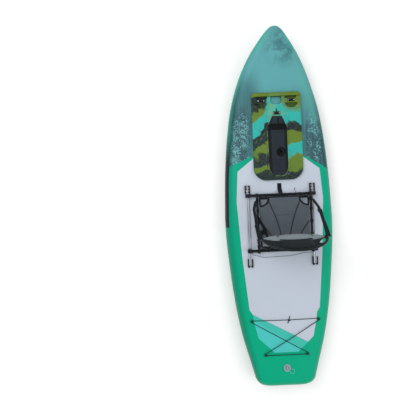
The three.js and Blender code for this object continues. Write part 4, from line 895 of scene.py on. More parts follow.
# Deck rails: satin aluminium channels that the seat slides on, stopped by a fork at the bow end
# and a U-shaped keeper at the stern end, both in black plastic.
aluminium = mottled_material("satin_aluminium", 0.34, (1.0, 4.0, 0.6, (1400.0, 9.0, 1400.0)),
                             (linear(146, 154, 163), linear(196, 203, 210)), (2500.0, 0.1, 0.12, 0.0001),
                             metallic=0.85)
for side in ("left", "right"):
    dressed_piece(f"rail_channel_{side}", f"rail_{side}", 0.0009, 2, "hull", "rail", aluminium)
    for end in ("front", "rear"):
        dressed_piece(f"rail_keeper_{end}_{side}", f"rail_stop_{end}_{side}", 0.0018, 3, "hull",
                      "black_plastic", black_plastic)


# Seat carriage: two cross bars on four sliding feet, with two side tubes clamped on top.
# The tubes are powder-coated satin black and end in moulded plugs.
tube_coat = mottled_material("satin_black_tube", 0.36, (55.0, 7.0, 0.75),
                             (linear(15, 20, 26), linear(60, 66, 72)),
                             (3200.0, 0.12, 0.18, 0.0002, 10.0), wear=(0.66, 0.82, 0.3))


def band_mesh(name, centre, axis, inner, outer, width, sides=32, rounding=0.25):
    centre, axis = Vector(centre), Vector(axis).normalized()
    first = axis.orthogonal().normalized()
    second = axis.cross(first)
    lip = (outer - inner) * rounding
    half = width / 2
    profile = [(inner, -half), (outer - lip, -half), (outer, -half + lip), (outer, half - lip),
               (outer - lip, half), (inner, half)]
    bm = bmesh.new()
    rows = []
    for i in range(sides):
        turn = 2 * math.pi * i / sides
        spoke = first * math.cos(turn) + second * math.sin(turn)
        rows.append([bm.verts.new(centre + spoke * radius + axis * place) for radius, place in profile])
    for i in range(sides):
        before, after = rows[i], rows[(i + 1) % sides]
        for k in range(len(profile)):
            n = (k + 1) % len(profile)
            bm.faces.new((before[k], before[n], after[n], after[k]))
    bmesh.ops.remove_doubles(bm, verts=bm.verts, dist=0.000005)
    bmesh.ops.recalc_face_normals(bm, faces=bm.faces)
    return smooth_mesh(mesh_of(bm, name), 0.6)


bar_z = 0.2369
bar_half, bar_radius = 0.284, 0.0125
front_bar_y = 0.133
rear_bar_y = -0.364
seat_x = 0.023
side_tube_x = 0.238
side_tube_z = 0.2664
for end, y in (("front", front_bar_y), ("rear", rear_bar_y)):
    bar = tube_mesh("bar", [(x / 10 * bar_half, y, bar_z) for x in range(-10, 11)], bar_radius, 32)
    collars = [band_mesh("collar", (seat_x + s * x, y, bar_z), (1, 0, 0), bar_radius, 0.0142, 0.012)
               for s in (-1, 1) for x in (0.205, 0.150)]
    make_piece(f"{end}_bar_tube", joined_mesh("bar", bar, *collars), "seat_base", "black_tube", tube_coat,
               f"{end}_bar")
for side, sign in (("left", -1), ("right", 1)):
    x = seat_x + sign * side_tube_x
    run = tube_mesh("run", [(x, -0.378 + 0.525 * i / 20, side_tube_z) for i in range(21)], 0.011, 32)
    make_piece(f"seat_side_tube_{side}", run, "seat_base", "black_tube", tube_coat, f"seat_tube_{side}")
    plugs = [band_mesh("plug", (x, y, side_tube_z), (0, 1, 0), 0.0001, 0.0122, 0.006, 28, 0.2)
             for y in (-0.3795, 0.1485)]
    make_piece(f"side_tube_plugs_{side}", joined_mesh("plugs", *plugs), "seat_base", "black_plastic",
               black_plastic)
    for end in ("front", "rear"):
        for stem in ("slider", "frame_clamp"):
            node = f"{stem}_{end}_{side}"
            dressed_piece(f"{node}_body", node, 0.0022, 3, "seat_base", "black_plastic", black_plastic)
    dressed_piece(f"hinge_plate_{side}", f"hinge_bracket_{side}", 0.001, 3, "seat_base", "black_plastic",
                  black_plastic)
    dress_node(f"hinge_pin_{side}", steel)
    dressed_piece(f"pull_pin_{side}", f"lock_pin_{side}", 0.0012, 3, f"pin_{side}", "black_plastic",
                  black_plastic)
caps = [band_mesh("cap", (x, y, bar_z), (1, 0, 0), 0.0001, 0.0145, 0.009, 32, 0.3)
        for y in (front_bar_y, rear_bar_y) for x in (-0.3095, 0.3095)]
make_piece("bar_end_caps", joined_mesh("caps", *caps), "seat_base", "black_plastic", black_plastic)


# Seat panel: a thin foam pad sewn into grey woven cloth and laced between the side tubes.
# Four piped seams fan out to the bow, and each corner is cut away and bound in black webbing.
weave, weave_in, weave_out = node_group("cloth_weave", "ShaderNodeTree",
                                        {"Thread Scale": "Float", "Wear": "Float"},
                                        {"Height": "Float", "Tone": "Float"})
weave_place = object_place(weave)
weave_x, weave_y, weave_z = axes_of(weave_place)
down_cloth = weave_y + weave_z
warp = (weave_x * weave_in.outputs["Thread Scale"]).math("SINE")
weft = (down_cloth * weave_in.outputs["Thread Scale"]).math("SINE")
threads = warp * weft * 0.5 + 0.5
fade = noise_at(weave_place, 14.0, 6.0, 0.65) - 0.5
weave_tone = fade * weave_in.outputs["Wear"] + (threads * 0.16 + 0.92)
weave.links.new(threads.socket, weave_out.inputs["Height"])
weave.links.new(weave_tone.socket, weave_out.inputs["Tone"])


def cloth_material(name, color, threads_scale, wear, strength, roughness=0.88, sheen=0.15):
    made, tree, shader = new_material(name, roughness)
    woven = add_node(tree, "ShaderNodeGroup", node_tree=weave)
    woven.inputs["Thread Scale"].default_value = threads_scale
    woven.inputs["Wear"].default_value = wear
    tint = add_node(tree, "ShaderNodeRGB")
    tint.outputs[0].default_value = (*color, 1.0)
    toned = add_node(tree, "ShaderNodeVectorMath", {0: tint.outputs[0], 1: woven.outputs["Tone"]},
                     operation="MULTIPLY")
    tree.links.new(toned.outputs[0], shader.inputs["Base Color"])
    bump = add_node(tree, "ShaderNodeBump", {"Height": woven.outputs["Height"], "Strength": strength,
                                             "Distance": 0.0005})
    tree.links.new(bump.outputs["Normal"], shader.inputs["Normal"])
    shader.inputs["Sheen Weight"].default_value = sheen
    shader.inputs["Sheen Roughness"].default_value = 0.5
    shader.inputs["Specular IOR Level"].default_value = 0.15
    return made


seat_cloth = cloth_material("grey_seat_cloth", linear(82, 89, 97), 2600.0, 0.35, 0.5)
black_webbing = cloth_material("black_webbing", linear(17, 22, 27), 3400.0, 0.25, 0.7)
piping_cloth = cloth_material("dark_piping", linear(24, 29, 34), 4200.0, 0.2, 0.5)


def puffed(node, inset, voxel, cap, pressure):
    bm = packed_shape(node)
    bm.normal_update()
    for vert, normal in [(v, v.normal.copy()) for v in bm.verts]:
        vert.co -= normal * inset
    remesh = {"mode": "VOXEL", "voxel_size": voxel, "use_smooth_shade": True}
    made = applied(mesh_of(bm, node), ("REMESH", remesh))
    last_frame = 20
    pad = add_object("pad", made)
    cloth = pad.modifiers.new("cloth", "CLOTH")
    cloth.settings.quality = 5
    cloth.settings.use_pressure = True
    cloth.settings.uniform_pressure_force = pressure
    cloth.settings.effector_weights.gravity = 0.0
    cloth.point_cache.frame_start = 1
    cloth.point_cache.frame_end = last_frame
    start = [(v.co.copy(), v.normal.copy()) for v in made.vertices]
    for number in range(1, last_frame + 1):
        bpy.context.scene.frame_set(number)
    swollen = final_mesh(pad)
    bpy.context.scene.frame_set(1)
    for vert, (was, normal) in zip(swollen.vertices, start):
        moved = vert.co - was
        outward = moved.dot(normal)
        sideways = (moved - normal * outward) * 0.2
        vert.co = was + normal * min(max(outward, -0.001), cap) + sideways
    bpy.data.objects.remove(pad)
    made = swollen
    return applied(made, ("SMOOTH", {"factor": 0.5, "iterations": 3}))


def press_seams(mesh, lines, depth, spread, facing):
    facing = Vector(facing).normalized()
    points = [p for line in lines for p in line]
    tree = KDTree(len(points))
    for i, p in enumerate(points):
        tree.insert(p, i)
    tree.balance()
    for vert in mesh.vertices:
        if vert.normal.dot(facing) > 0.25:
            near, _, gap = tree.find(vert.co)
            flat_gap = ((vert.co - near) - facing * (vert.co - near).dot(facing)).length
            vert.co -= facing * depth * math.exp(-(flat_gap / spread) ** 2)
    mesh.update()


def laid_on(mesh, line, facing, lift):
    facing = Vector(facing).normalized()
    bm = bmesh.new()
    bm.from_mesh(mesh)
    tree = BVHTree.FromBMesh(bm)
    bm.free()
    out = []
    for p in line:
        hit = tree.ray_cast(Vector(p) + facing * 0.08, -facing)[0]
        if hit is not None:
            out.append(hit + facing * lift)
    return out


def fan_share(column, run):
    inner = 0.13 + (0.70 - 0.13) * run ** 1.8
    outer = max(0.36 + (0.93 - 0.36) * min(run / 0.5, 1.0) ** 1.4, inner + 0.12)
    return inner if column == 0 else outer


seat_half = 0.2267
seat_rear = -0.342
seat_front = 0.1145
seat_lines = []
for sign in (-1, 1):
    for column, last in ((0, 0.93), (1, 0.50)):
        line = []
        for i in range(41):
            run = 0.03 + (last - 0.03) * i / 40
            line.append(Vector((seat_x + sign * fan_share(column, run) * seat_half,
                                seat_rear + run * (seat_front - seat_rear), side_tube_z + 0.012)))
        seat_lines.append(line)
cross_y = -0.055
cross_run = (cross_y - seat_rear) / (seat_front - seat_rear)
cross_half = fan_share(0, cross_run) * seat_half
seat_lines.append([Vector((seat_x + cross_half * (i / 10 - 1), cross_y, side_tube_z + 0.012))
                   for i in range(21)])
seat_pad = puffed("seat_base_panel", 0.0012, 0.005, 0.006, 4.0)
press_seams(seat_pad, seat_lines, 0.0042, 0.007, (0, 0, 1))
seat_pad = applied(seat_pad, ("SUBSURF", {"levels": 1, "render_levels": 1}))
seat_pad.shade_smooth()
seat_piping = [tube_mesh("piping", laid_on(seat_pad, line, (0, 0, 1), 0.0006), 0.0032, 10)
               for line in seat_lines[:4]]
stitch_sockets = {"Geometry": "Geometry", "Spacing": "Float", "Stitch Length": "Float",
                  "Thread Radius": "Float", "Finish": "Material"}
stitch_row, sewn_path, sewn = node_group("stitch_row", "GeometryNodeTree", stitch_sockets,
                                         {"Geometry": "Geometry"})
seam_curve = add_node(stitch_row, "GeometryNodeMeshToCurve", {"Mesh": sewn_path.outputs["Geometry"]})
marks = add_node(stitch_row, "GeometryNodeCurveToPoints",
                 {"Curve": seam_curve.outputs[0], "Length": sewn_path.outputs["Spacing"]}, mode="LENGTH")
thread = add_node(stitch_row, "GeometryNodeMeshCylinder",
                  {"Vertices": 6, "Radius": sewn_path.outputs["Thread Radius"],
                   "Depth": sewn_path.outputs["Stitch Length"]})
each_stitch = add_node(stitch_row, "GeometryNodeInstanceOnPoints",
                       {"Points": marks.outputs["Points"], "Instance": thread.outputs["Mesh"],
                        "Rotation": marks.outputs["Rotation"]})
all_stitches = add_node(stitch_row, "GeometryNodeRealizeInstances", {"Geometry": each_stitch.outputs[0]})
dyed = add_node(stitch_row, "GeometryNodeSetMaterial", {"Geometry": all_stitches.outputs[0],
                                                        "Material": sewn_path.outputs["Finish"]})
stitch_row.links.new(dyed.outputs[0], sewn.inputs["Geometry"])


def stitched(name, paths, finish):
    verts, edges = [], []
    for path in paths:
        edges += [(len(verts) + i, len(verts) + i + 1) for i in range(len(path) - 1)]
        verts += [tuple(p) for p in path]
    route = bpy.data.meshes.new(name)
    route.from_pydata(verts, edges, [])
    return run_group(name, route, stitch_row, {"Spacing": 0.0052, "Stitch Length": 0.0034,
                                               "Thread Radius": 0.0005, "Finish": finish})


def beside(line, sideways):
    rows = []
    for k, point in enumerate(line):
        along = (line[min(k + 1, len(line) - 1)] - line[max(k - 1, 0)]).normalized()
        rows.append(point + along.cross(Vector(sideways)).normalized() * Vector(sideways).length)
    return rows


thread_cloth = cloth_material("sewing_thread", linear(52, 58, 64), 9000.0, 0.2, 0.3)
seat_rows = [laid_on(seat_pad, beside(line, (0, 0, side * 0.0075)), (0, 0, 1), 0.0002)
             for line in seat_lines for side in (-1, 1)]
make_piece("seat_stitching", stitched("seat_stitching", seat_rows, thread_cloth), "seat_base", "webbing",
           thread_cloth)
seat_panel = make_piece("seat_panel_pad", seat_pad, "seat_base", "seat_fabric", seat_cloth, "seat_base_panel")
make_piece("seat_panel_piping", joined_mesh("piping", *seat_piping), "seat_base", "webbing", piping_cloth)
bindings = []
for sign in (-1, 1):
    for edge_y, inward in ((seat_front, -1), (seat_rear, 1)):
        outer_x = seat_x + sign * (seat_half - 0.012)
        start_y = edge_y + inward * 0.012
        loop = [(outer_x, start_y)]
        for i in range(17):
            turn = i / 16 * math.pi / 2
            loop.append((outer_x - sign * 0.078 * math.cos(turn), start_y + inward * 0.068 * math.sin(turn)))
        dense = []
        for k in range(len(loop)):
            a, b = Vector((*loop[k], 0.0)), Vector((*loop[(k + 1) % len(loop)], 0.0))
            steps = max(int((b - a).length / 0.006), 1)
            dense += [a.lerp(b, i / steps) for i in range(steps)]
        run = [(p.x, p.y, side_tube_z + 0.001) for p in dense]
        bindings.append(tube_mesh("binding", run, 0.0085, 12, True, 0.85))
for y in (seat_rear + 0.002, seat_front - 0.002):
    run = [(seat_x + seat_half * (i / 15 - 1) * 0.985, y, side_tube_z + 0.0005) for i in range(31)]
    bindings.append(tube_mesh("hem", run, 0.0062, 12))
make_piece("seat_bindings", joined_mesh("bindings", *bindings), "seat_base", "webbing", black_webbing)
laces = []
for sign in (-1, 1):
    x = seat_x + sign * side_tube_x
    for y in (-0.318, -0.225, -0.110, 0.000, 0.090):
        laces.append(band_mesh("lace", (x, y, side_tube_z), (0, 1, 0), 0.0108, 0.0138, 0.030, 28))
make_piece("seat_tube_sleeves", joined_mesh("laces", *laces), "seat_base", "webbing", black_webbing)


# Backrest: a bent tube with a grey foam panel laced inside it and a black mesh sleeve over its top.
# It leans on two pins at the side tubes, and black bindings edge the crescents beside the sleeve; to port one
# black sheet fills the crescent, standing for its binding and for the shade seen through it.
pivot_y, pivot_z = -0.271, 0.3024
shoulder_half = 0.262
arch_rise = 0.172


def back_profile(length):
    lower, upper = math.radians(-11), math.radians(31)
    bend_start, bend_end = 0.245, 0.325
    radius = (bend_end - bend_start) / (upper - lower)
    straight = min(length, bend_start)
    y = pivot_y - straight * math.sin(lower)
    z = pivot_z + straight * math.cos(lower)
    turned_by = min(max((length - bend_start) / (bend_end - bend_start), 0.0), 1.0)
    lean = lower + turned_by * (upper - lower)
    y += radius * (math.cos(lean) - math.cos(lower))
    z += radius * (math.sin(lean) - math.sin(lower))
    rest = max(length - bend_end, 0.0)
    return y - rest * math.sin(upper), z + rest * math.cos(upper), lean


def back_point(x, length, forward=0.0):
    y, z, lean = back_profile(length)
    return Vector((seat_x + x, y + forward * math.cos(lean), z + forward * math.sin(lean)))


def back_half_width(length):
    t = min(max((length - 0.04) / 0.205, 0.0), 1.0)
    return side_tube_x + t * t * (3 - 2 * t) * (shoulder_half - side_tube_x)


arch_start = 0.270
port_leg = []
for i in range(14):
    length = -0.014 + 0.284 * i / 14
    port_leg.append(back_point(-back_half_width(length), length))


def arch_point(across, turn):
    return back_point(across * shoulder_half * math.cos(turn), arch_start + arch_rise * math.sin(turn))


arch = [arch_point(-1, i / 48 * math.pi) for i in range(49)]
starboard_leg = [Vector((2 * seat_x - p.x, p.y, p.z)) for p in reversed(port_leg)]
back_path = smooth_path(port_leg + arch + starboard_leg, 2)
make_piece("backrest_tube", tube_mesh("back_tube", back_path, 0.010, 24, up=Vector((0, 1, 0))), "backrest",
           "black_tube", tube_coat, "backrest_frame")

panel_start = 0.034
panel_end = 0.322


def panel_half(length):
    half = back_half_width(length) - 0.0103
    run = min(max((length - 0.258) / (panel_end - 0.258), 0.0), 1.0)
    return half - (half - 0.130) * (1 - math.sqrt(max(1 - run ** 2, 0.0)))


back_lines = []
for sign in (-1, 1):
    for column, last in ((0, 0.90), (1, 0.50)):
        line = []
        for i in range(41):
            run = 0.03 + (last - 0.03) * i / 40
            length = panel_start + run * (panel_end - panel_start)
            line.append(back_point(sign * fan_share(column, run) * panel_half(length), length, 0.014))
        back_lines.append(line)
back_pad = puffed("backrest_panel", 0.0012, 0.005, 0.007, 4.0)
for vert in back_pad.vertices:
    rise = min(max((vert.co.z - 0.44) / 0.12, 0.0), 1.0) * min(max((0.640 - vert.co.z) / 0.05, 0.0), 1.0)
    across = min(abs(vert.co.x - seat_x) / 0.235, 1.0)
    if vert.normal.y > 0.0:
        vert.co.y += 0.013 * rise * (1 - across ** 2.5) * vert.normal.y
press_seams(back_pad, back_lines, 0.0042, 0.007, (0, 0.97, -0.2))
press_seams(back_pad, back_lines, 0.0030, 0.006, (0, -0.97, 0.2))
back_pad = applied(back_pad, ("SUBSURF", {"levels": 1, "render_levels": 1}))
back_pad.shade_smooth()
back_piping = [tube_mesh("piping", laid_on(back_pad, line, (0, 1, -0.1), 0.0006), 0.0032, 10,
                         up=Vector((0, 1, 0))) for line in back_lines]
back_rows = [laid_on(back_pad, beside(line, (0, side * 0.0075, 0)), (0, 1, -0.1), 0.0002)
             for line in back_lines for side in (-1, 1)]
make_piece("backrest_stitching", stitched("backrest_stitching", back_rows, thread_cloth), "backrest",
           "webbing", thread_cloth)
# the backrest has the seat's grey cloth, lightened as a painted highlight where the panel faces up to the
# light
lit_back_cloth = cloth_material("grey_back_cloth", linear(124, 135, 140), 2600.0, 0.35, 0.5)
back_panel = make_piece("backrest_pad", back_pad, "backrest", "seat_fabric", lit_back_cloth, "backrest_panel")
make_piece("backrest_piping", joined_mesh("piping", *back_piping), "backrest", "webbing", piping_cloth)

black_mesh_cloth = cloth_material("black_mesh", linear(19, 26, 30), 1500.0, 0.3, 0.9, 0.7, 0.08)
sleeve_mesh = puffed("backrest_sleeve", 0.0010, 0.0045, 0.006, 3.0)
sleeve_mesh = applied(sleeve_mesh, ("SUBSURF", {"levels": 1, "render_levels": 1}))
sleeve_mesh.shade_smooth()
sleeve = make_piece("backrest_top_sleeve", sleeve_mesh, "backrest", "webbing", black_mesh_cloth,
                    "backrest_sleeve")


def sheet_mesh(name, rows, thickness):
    bm = bmesh.new()
    rows = [[bm.verts.new(point) for point in row] for row in rows]
    for before, after in zip(rows, rows[1:]):
        for i in range(len(before) - 1):
            bm.faces.new((before[i], before[i + 1], after[i + 1], after[i]))
    bmesh.ops.recalc_face_normals(bm, faces=bm.faces)
    bevel = {"width": thickness * 0.3, "segments": 2, "limit_method": "ANGLE", "angle_limit": 0.8}
    made = applied(mesh_of(bm, name), ("SOLIDIFY", {"thickness": thickness, "offset": 0.0}), ("BEVEL", bevel))
    return smooth_mesh(made, 0.8)


def strip_mesh(name, first, second):
    return sheet_mesh(name, [[a.lerp(b, i / 6) for i in range(7)] for a, b in zip(first, second)], 0.003)


crescents = []
for sign in (-1, 1):
    outer, inner = [], []
    for i in range(25):
        t = i / 24
        turn = 0.10 + t * 0.95
        outer.append(arch_point(sign, turn))
        length = 0.252 + t * (panel_end - 0.252)
        inner.append(back_point(sign * (panel_half(length) - 0.013), length))
    # to port one black sheet spans the whole crescent: it stands partly for the binding and partly, as a dark
    # sheet, for the shade seen through the opening behind
    if sign < 0:
        crescents.append(strip_mesh("wing", outer, inner))
        continue
    opening = [0.30 * max(math.sin(math.pi * (i / 24 - 0.30) / 0.55), 0.0) if 0.30 < i / 24 < 0.85 else 0.0
               for i in range(25)]
    upper = [a.lerp(b, 0.5 - gap) for a, b, gap in zip(outer, inner, opening)]
    lower = [a.lerp(b, 0.5 + gap) for a, b, gap in zip(outer, inner, opening)]
    crescents += [strip_mesh("wing", outer, upper), strip_mesh("wing", lower, inner)]
edge_path, skirt_low, skirt_high = [], [], []
for i in range(-20, 21):
    share = i / 20
    edge_path.append(back_point(share * 0.128, panel_end - 0.004 + 0.010 * (1 - share ** 2), 0.0105))
    skirt_low.append(back_point(share * 0.136, panel_end - 0.014))
    skirt_high.append(back_point(share * 0.136, panel_end + 0.016))
crescents.append(tube_mesh("arched_piping", edge_path, 0.0035, 10, up=Vector((0, 1, 0))))
crescents.append(strip_mesh("skirt", skirt_high, skirt_low))
make_piece("backrest_bindings", joined_mesh("crescents", *crescents), "backrest", "webbing", black_mesh_cloth)
back_laces = []
for sign in (-1, 1):
    for length in (0.060, 0.130, 0.200, 0.248):
        spot = back_point(sign * back_half_width(length), length)
        ahead = back_point(sign * back_half_width(length + 0.01), length + 0.01) - spot
        back_laces.append(band_mesh("lace", spot, ahead, 0.0098, 0.0130, 0.026, 28))
make_piece("backrest_tube_sleeves", joined_mesh("laces", *back_laces), "backrest", "webbing", black_webbing)


# Side straps: webbing from each side tube to the backrest's shoulder, through a ladder buckle.
# The strap twists on its way up and ends in a wider sewn tab, and its loose end hangs beside it.
def ribbon_mesh(name, centres, widths, facings, thickness=0.0022):
    rows = []
    for k, centre in enumerate(centres):
        before, after = centres[max(k - 1, 0)], centres[min(k + 1, len(centres) - 1)]
        along = (after - before).normalized()
        across = Vector(facings[k])
        across = (across - along * across.dot(along)).normalized()
        rows.append([centre + across * (widths[k] * (i / 6 - 0.5)) for i in range(7)])
    return sheet_mesh(name, rows, thickness)


def plain_ribbon(name, centres, width, facing, thickness=0.0022):
    return ribbon_mesh(name, centres, [width] * len(centres), [facing] * len(centres), thickness)


def loop_frame(name, centre, along, across, length, width, bar):
    along, across = along.normalized(), across.normalized()
    corners = [(-1, -1), (1, -1), (1, 1), (-1, 1)]
    path = []
    for k in range(4):
        a, b = corners[k], corners[(k + 1) % 4]
        for i in range(6):
            u = a[0] + (b[0] - a[0]) * (i + 0.5) / 6
            v = a[1] + (b[1] - a[1]) * (i + 0.5) / 6
            path.append(centre + along * (u * length / 2) + across * (v * width / 2))
    frame_tube = tube_mesh(name, path, bar, 10, True, up=along.cross(across))
    middle = tube_mesh(name, [centre - across * (width / 2), centre, centre + across * (width / 2)], bar, 10,
                       up=along.cross(across))
    return joined_mesh(name, frame_tube, middle)


strap_foot_y = 0.086
shoulder_y, shoulder_z, _ = back_profile(arch_start)
# how far each strap bows outside the seat's middle, and at which share of its length
bow_stops = ((0.0, 0.2503), (0.24, 0.2800), (0.8, 0.2800), (1.0, 0.2746))
for side, sign, buckle_at in (("left", -1, 22), ("right", 1, 11)):
    centres, widths, facings = [], [], []
    for i in range(33):
        share = i / 32
        k = max(n for n in range(3) if bow_stops[n][0] <= share)
        (start, near), (end, far) = bow_stops[k], bow_stops[k + 1]
        x = near + (far - near) * (share - start) / (end - start)
        centres.append(Vector((seat_x + sign * x, strap_foot_y + share * (shoulder_y - strap_foot_y),
                               side_tube_z + share * (shoulder_z - side_tube_z))))
        lean = math.radians(15 + 65 * min(share / 0.35, 1.0))
        facings.append((sign * math.sin(lean), -0.7 * math.cos(lean), 0.7 * math.cos(lean)))
        widths.append(0.025 + 0.016 * max((share - 0.45) / 0.55, 0.0))
    strap = ribbon_mesh("strap", centres, widths, facings)
    tail_centres = [centres[buckle_at + n] + Vector((sign * 0.006, 0.004, -0.004 - 0.02 * (n / 9) ** 2))
                    for n in range(9)]
    tail = ribbon_mesh("tail", tail_centres, [0.024] * 9, facings[buckle_at:buckle_at + 9], 0.002)
    along = (centres[buckle_at + 1] - centres[buckle_at - 1]).normalized()
    across = Vector(facings[buckle_at])
    across = across - along * across.dot(along)
    buckle = loop_frame("buckle", centres[buckle_at], along, across, 0.036, 0.034, 0.0034)
    foot = band_mesh("foot", (seat_x + sign * side_tube_x, strap_foot_y, side_tube_z), (0, 1, 0),
                     0.0110, 0.0140, 0.027, 28)
    make_piece(f"strap_foot_{side}", foot, "seat_base", "webbing", black_webbing)
    webbing_piece = make_piece(f"back_strap_{side}", joined_mesh("strap", strap, tail), None, "webbing",
                               black_webbing, f"side_strap_{side}")
    buckle_piece = make_piece(f"ladder_buckle_{side}", buckle, None, "black_plastic", black_plastic,
                              f"strap_buckle_{side}")
    for item in (webbing_piece, buckle_piece):
        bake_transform(item)


# Spare webbing at the port tube: a lashing wrapped round the tube, doubled through two loop buckles,
# with its loose end laid aslant over the panel. A thin lace end hangs from the front bar to the deck.
port_tube_x = seat_x - side_tube_x
loose_start = [(-0.222, -0.050, 0.2795), (-0.211, -0.070, 0.2815), (-0.200, -0.092, 0.2800)]
loose_rest = [(-0.185, -0.122), (-0.171, -0.150), (-0.158, -0.182), (-0.147, -0.212), (-0.140, -0.238)]
loose_rest = laid_on(seat_pad, [(x, y, side_tube_z) for x, y in loose_rest], (0, 0, 1), 0.0040)
loose_end = plain_ribbon("loose_end", smooth_path(loose_start + loose_rest, 5), 0.021, (0.89, 0.45, 0.0))
doubled = [(-0.216, -0.196, 0.2836), (-0.200, -0.194, 0.2862), (-0.184, -0.193, 0.2868),
           (-0.168, -0.196, 0.2850), (-0.152, -0.203, 0.2812)]
doubled = plain_ribbon("doubled", smooth_path(doubled, 5), 0.026, (0.1, 1.0, 0.0), 0.0024)
wrap = band_mesh("wrap", (port_tube_x, -0.194, side_tube_z), (0, 1, 0), 0.0141, 0.0170, 0.036, 28)
make_piece("spare_webbing", joined_mesh("spare_webbing", wrap, loose_end, doubled), "seat_base", "webbing",
           black_webbing)
loops = [loop_frame("loop", Vector((-0.178, -0.193, 0.2888)), Vector((0.98, -0.1, -0.06)),
                    Vector((0.1, 0.98, 0.0)), 0.026, 0.036, 0.0032),
         loop_frame("loop", Vector((-0.204, -0.226, 0.2850)), Vector((0.2, -0.97, -0.1)),
                    Vector((0.96, 0.2, -0.15)), 0.030, 0.030, 0.0030)]
make_piece("spare_buckles", joined_mesh("spare_buckles", *loops), "seat_base", "black_plastic", black_plastic)
lace_drop = ((0.131, 0.2512), (0.1445, 0.2482), (0.155, 0.236), (0.164, 0.222), (0.175, 0.2105),
             (0.185, 0.2084))
lace = smooth_path([(0.134 + 0.003 * i / 5, y, z) for i, (y, z) in enumerate(lace_drop)], 5)
knot = smooth_path([(0.1368, 0.181, 0.2098), (0.1370, 0.184, 0.2102), (0.1372, 0.187, 0.2098)], 3)
lace, knot = tube_mesh("lace", lace, 0.0016, 10), tube_mesh("knot", knot, 0.0031, 12)
make_piece("lace_end", joined_mesh("lace_end", lace, knot), "seat_base", "webbing", black_webbing)


# Front strap: a short band of webbing glued to the deck by a patch and sewn round the front bar.
# It takes up slack when the seat slides aft.
band_route = [(0, y, z) for y, z in ((0.236, 0.2091), (0.214, 0.2091), (0.194, 0.2094), (0.176, 0.2190),
                                     (0.160, 0.2300), (0.149, 0.2380), (0.140, 0.2478), (0.132, 0.2508),
                                     (0.122, 0.2470))]
front_band = plain_ribbon("front_band", smooth_path(band_route, 4), 0.038, (1, 0, 0))
front_strap = make_piece("front_deck_strap", front_band, None, "webbing", black_webbing, "front_strap")
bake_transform(front_strap)
dressed_piece("front_patch", "front_strap_patch", 0.0009, 2, "hull", "pale_pad", pale_foam)


# Cords: a thin release cord that lifts both lock pins, and the stern bungee laced through four loops.
# Both are braided, so their look follows the cord's own length.
braid, braid_tree, braid_shader = new_material("braided_cord", 0.7)
run_map = add_node(braid_tree, "ShaderNodeUVMap", uv_map="run").outputs["UV"]
run_x, run_y, _ = axes_of(run_map)
left_lay = (run_x * 18.85 + run_y * 900.0).math("SINE")
right_lay = (run_x * -18.85 + run_y * 900.0).math("SINE")
lay = left_lay.math("MAXIMUM", right_lay)
braid_color = blend_colors(lay.ramp(-0.2, 0.9), linear(12, 30, 34), linear(34, 58, 62))
braid_tree.links.new(braid_color, braid_shader.inputs["Base Color"])
braid_bump = add_node(braid_tree, "ShaderNodeBump", {"Height": lay, "Strength": 0.6, "Distance": 0.0006})
braid_tree.links.new(braid_bump.outputs["Normal"], braid_shader.inputs["Normal"])
pad_top = 0.2053
# millimetres to starboard, aft of the rear bar and over the deck pad
release_route = [(-284.6, 5.2, 53.7), (-277, 19, 52.7), (-266, 30, 50.7), (-250, 36, 42.7), (-236, 40, 30.7),
                 (-222, 46, 17.7), (-204, 54, 7.7), (-180, 62, 3.2), (-150, 65, 2.5), (-110, 64, 2.5),
                 (-60, 62, 2.5), (-10, 61, 2.5), (40, 60, 2.5), (90, 56, 2.5), (135, 49, 2.5), (172, 41, 3.7),
                 (205, 35, 10.7), (232, 32, 23.7), (252, 30, 37.7), (266, 26, 48.7), (277, 19, 52.7),
                 (284.6, 5.2, 53.7)]
release_path = [(x / 1000, rear_bar_y - aft / 1000, pad_top + rise / 1000) for x, aft, rise in release_route]
release_path = smooth_path(release_path, 6)
make_piece("pin_release_cord", tube_mesh("release", release_path, 0.0015, 8), "seat_base", "cord", braid,
           "release_cord")

bungee_z = deck_top + 0.009
front_y, rear_y = -1.0020, -1.3150
front_x = 0.737 * hull_half_width(front_y)
rear_x = 0.557 * hull_half_width(rear_y)
bungee_centre = (front_y + rear_y) / 2
post_radius = 0.010
lock_x, lock_half = 0.032, 0.0103


def round_anchor(x, y, first, last):
    heading = math.atan2(y - bungee_centre, x)
    post_x, post_y = x - post_radius * math.cos(heading), y - post_radius * math.sin(heading)
    turns = [heading + first + (last - first) * i / 6 for i in range(7)]
    return [Vector((post_x + post_radius * math.cos(t), post_y + post_radius * math.sin(t), bungee_z))
            for t in turns]


def part_way(a, b, share, lift=0.0):
    point = a.lerp(b, share)
    point.z = bungee_z + lift
    return point


quarter = math.pi / 2
starboard_front = round_anchor(front_x, front_y, quarter, -quarter)
port_rear = round_anchor(-rear_x, rear_y, -quarter, quarter)
starboard_rear = round_anchor(rear_x, rear_y, -quarter, quarter)
port_front = round_anchor(-front_x, front_y, quarter, -quarter)
lock_start = Vector((lock_x + lock_half, front_y, bungee_z))
lock_end = Vector((lock_x - lock_half, front_y, bungee_z))
bungee_route = [lock_start, part_way(lock_start, starboard_front[0], 0.5), *starboard_front]
bungee_route += [part_way(starboard_front[-1], port_rear[0], share, rise)
                 for share, rise in ((0.3, 0.0049), (0.5, 0.007), (0.7, 0.0049))]
bungee_route += [*port_rear, part_way(port_rear[-1], starboard_rear[0], 0.5), *starboard_rear]
bungee_route += [part_way(starboard_rear[-1], port_front[0], share) for share in (0.3, 0.5, 0.7)]
bungee_route += [*port_front, part_way(port_front[-1], lock_end, 0.5), lock_end]
make_piece("stern_bungee", tube_mesh("bungee", smooth_path(bungee_route, 10), 0.003, 12), "hull", "cord",
           braid, "bungee_cord")
green_rubber, anchor_tree, anchor_shader = new_material("green_anchor_rubber", 0.55)
_, _, anchor_height = axes_of(object_place(anchor_tree))
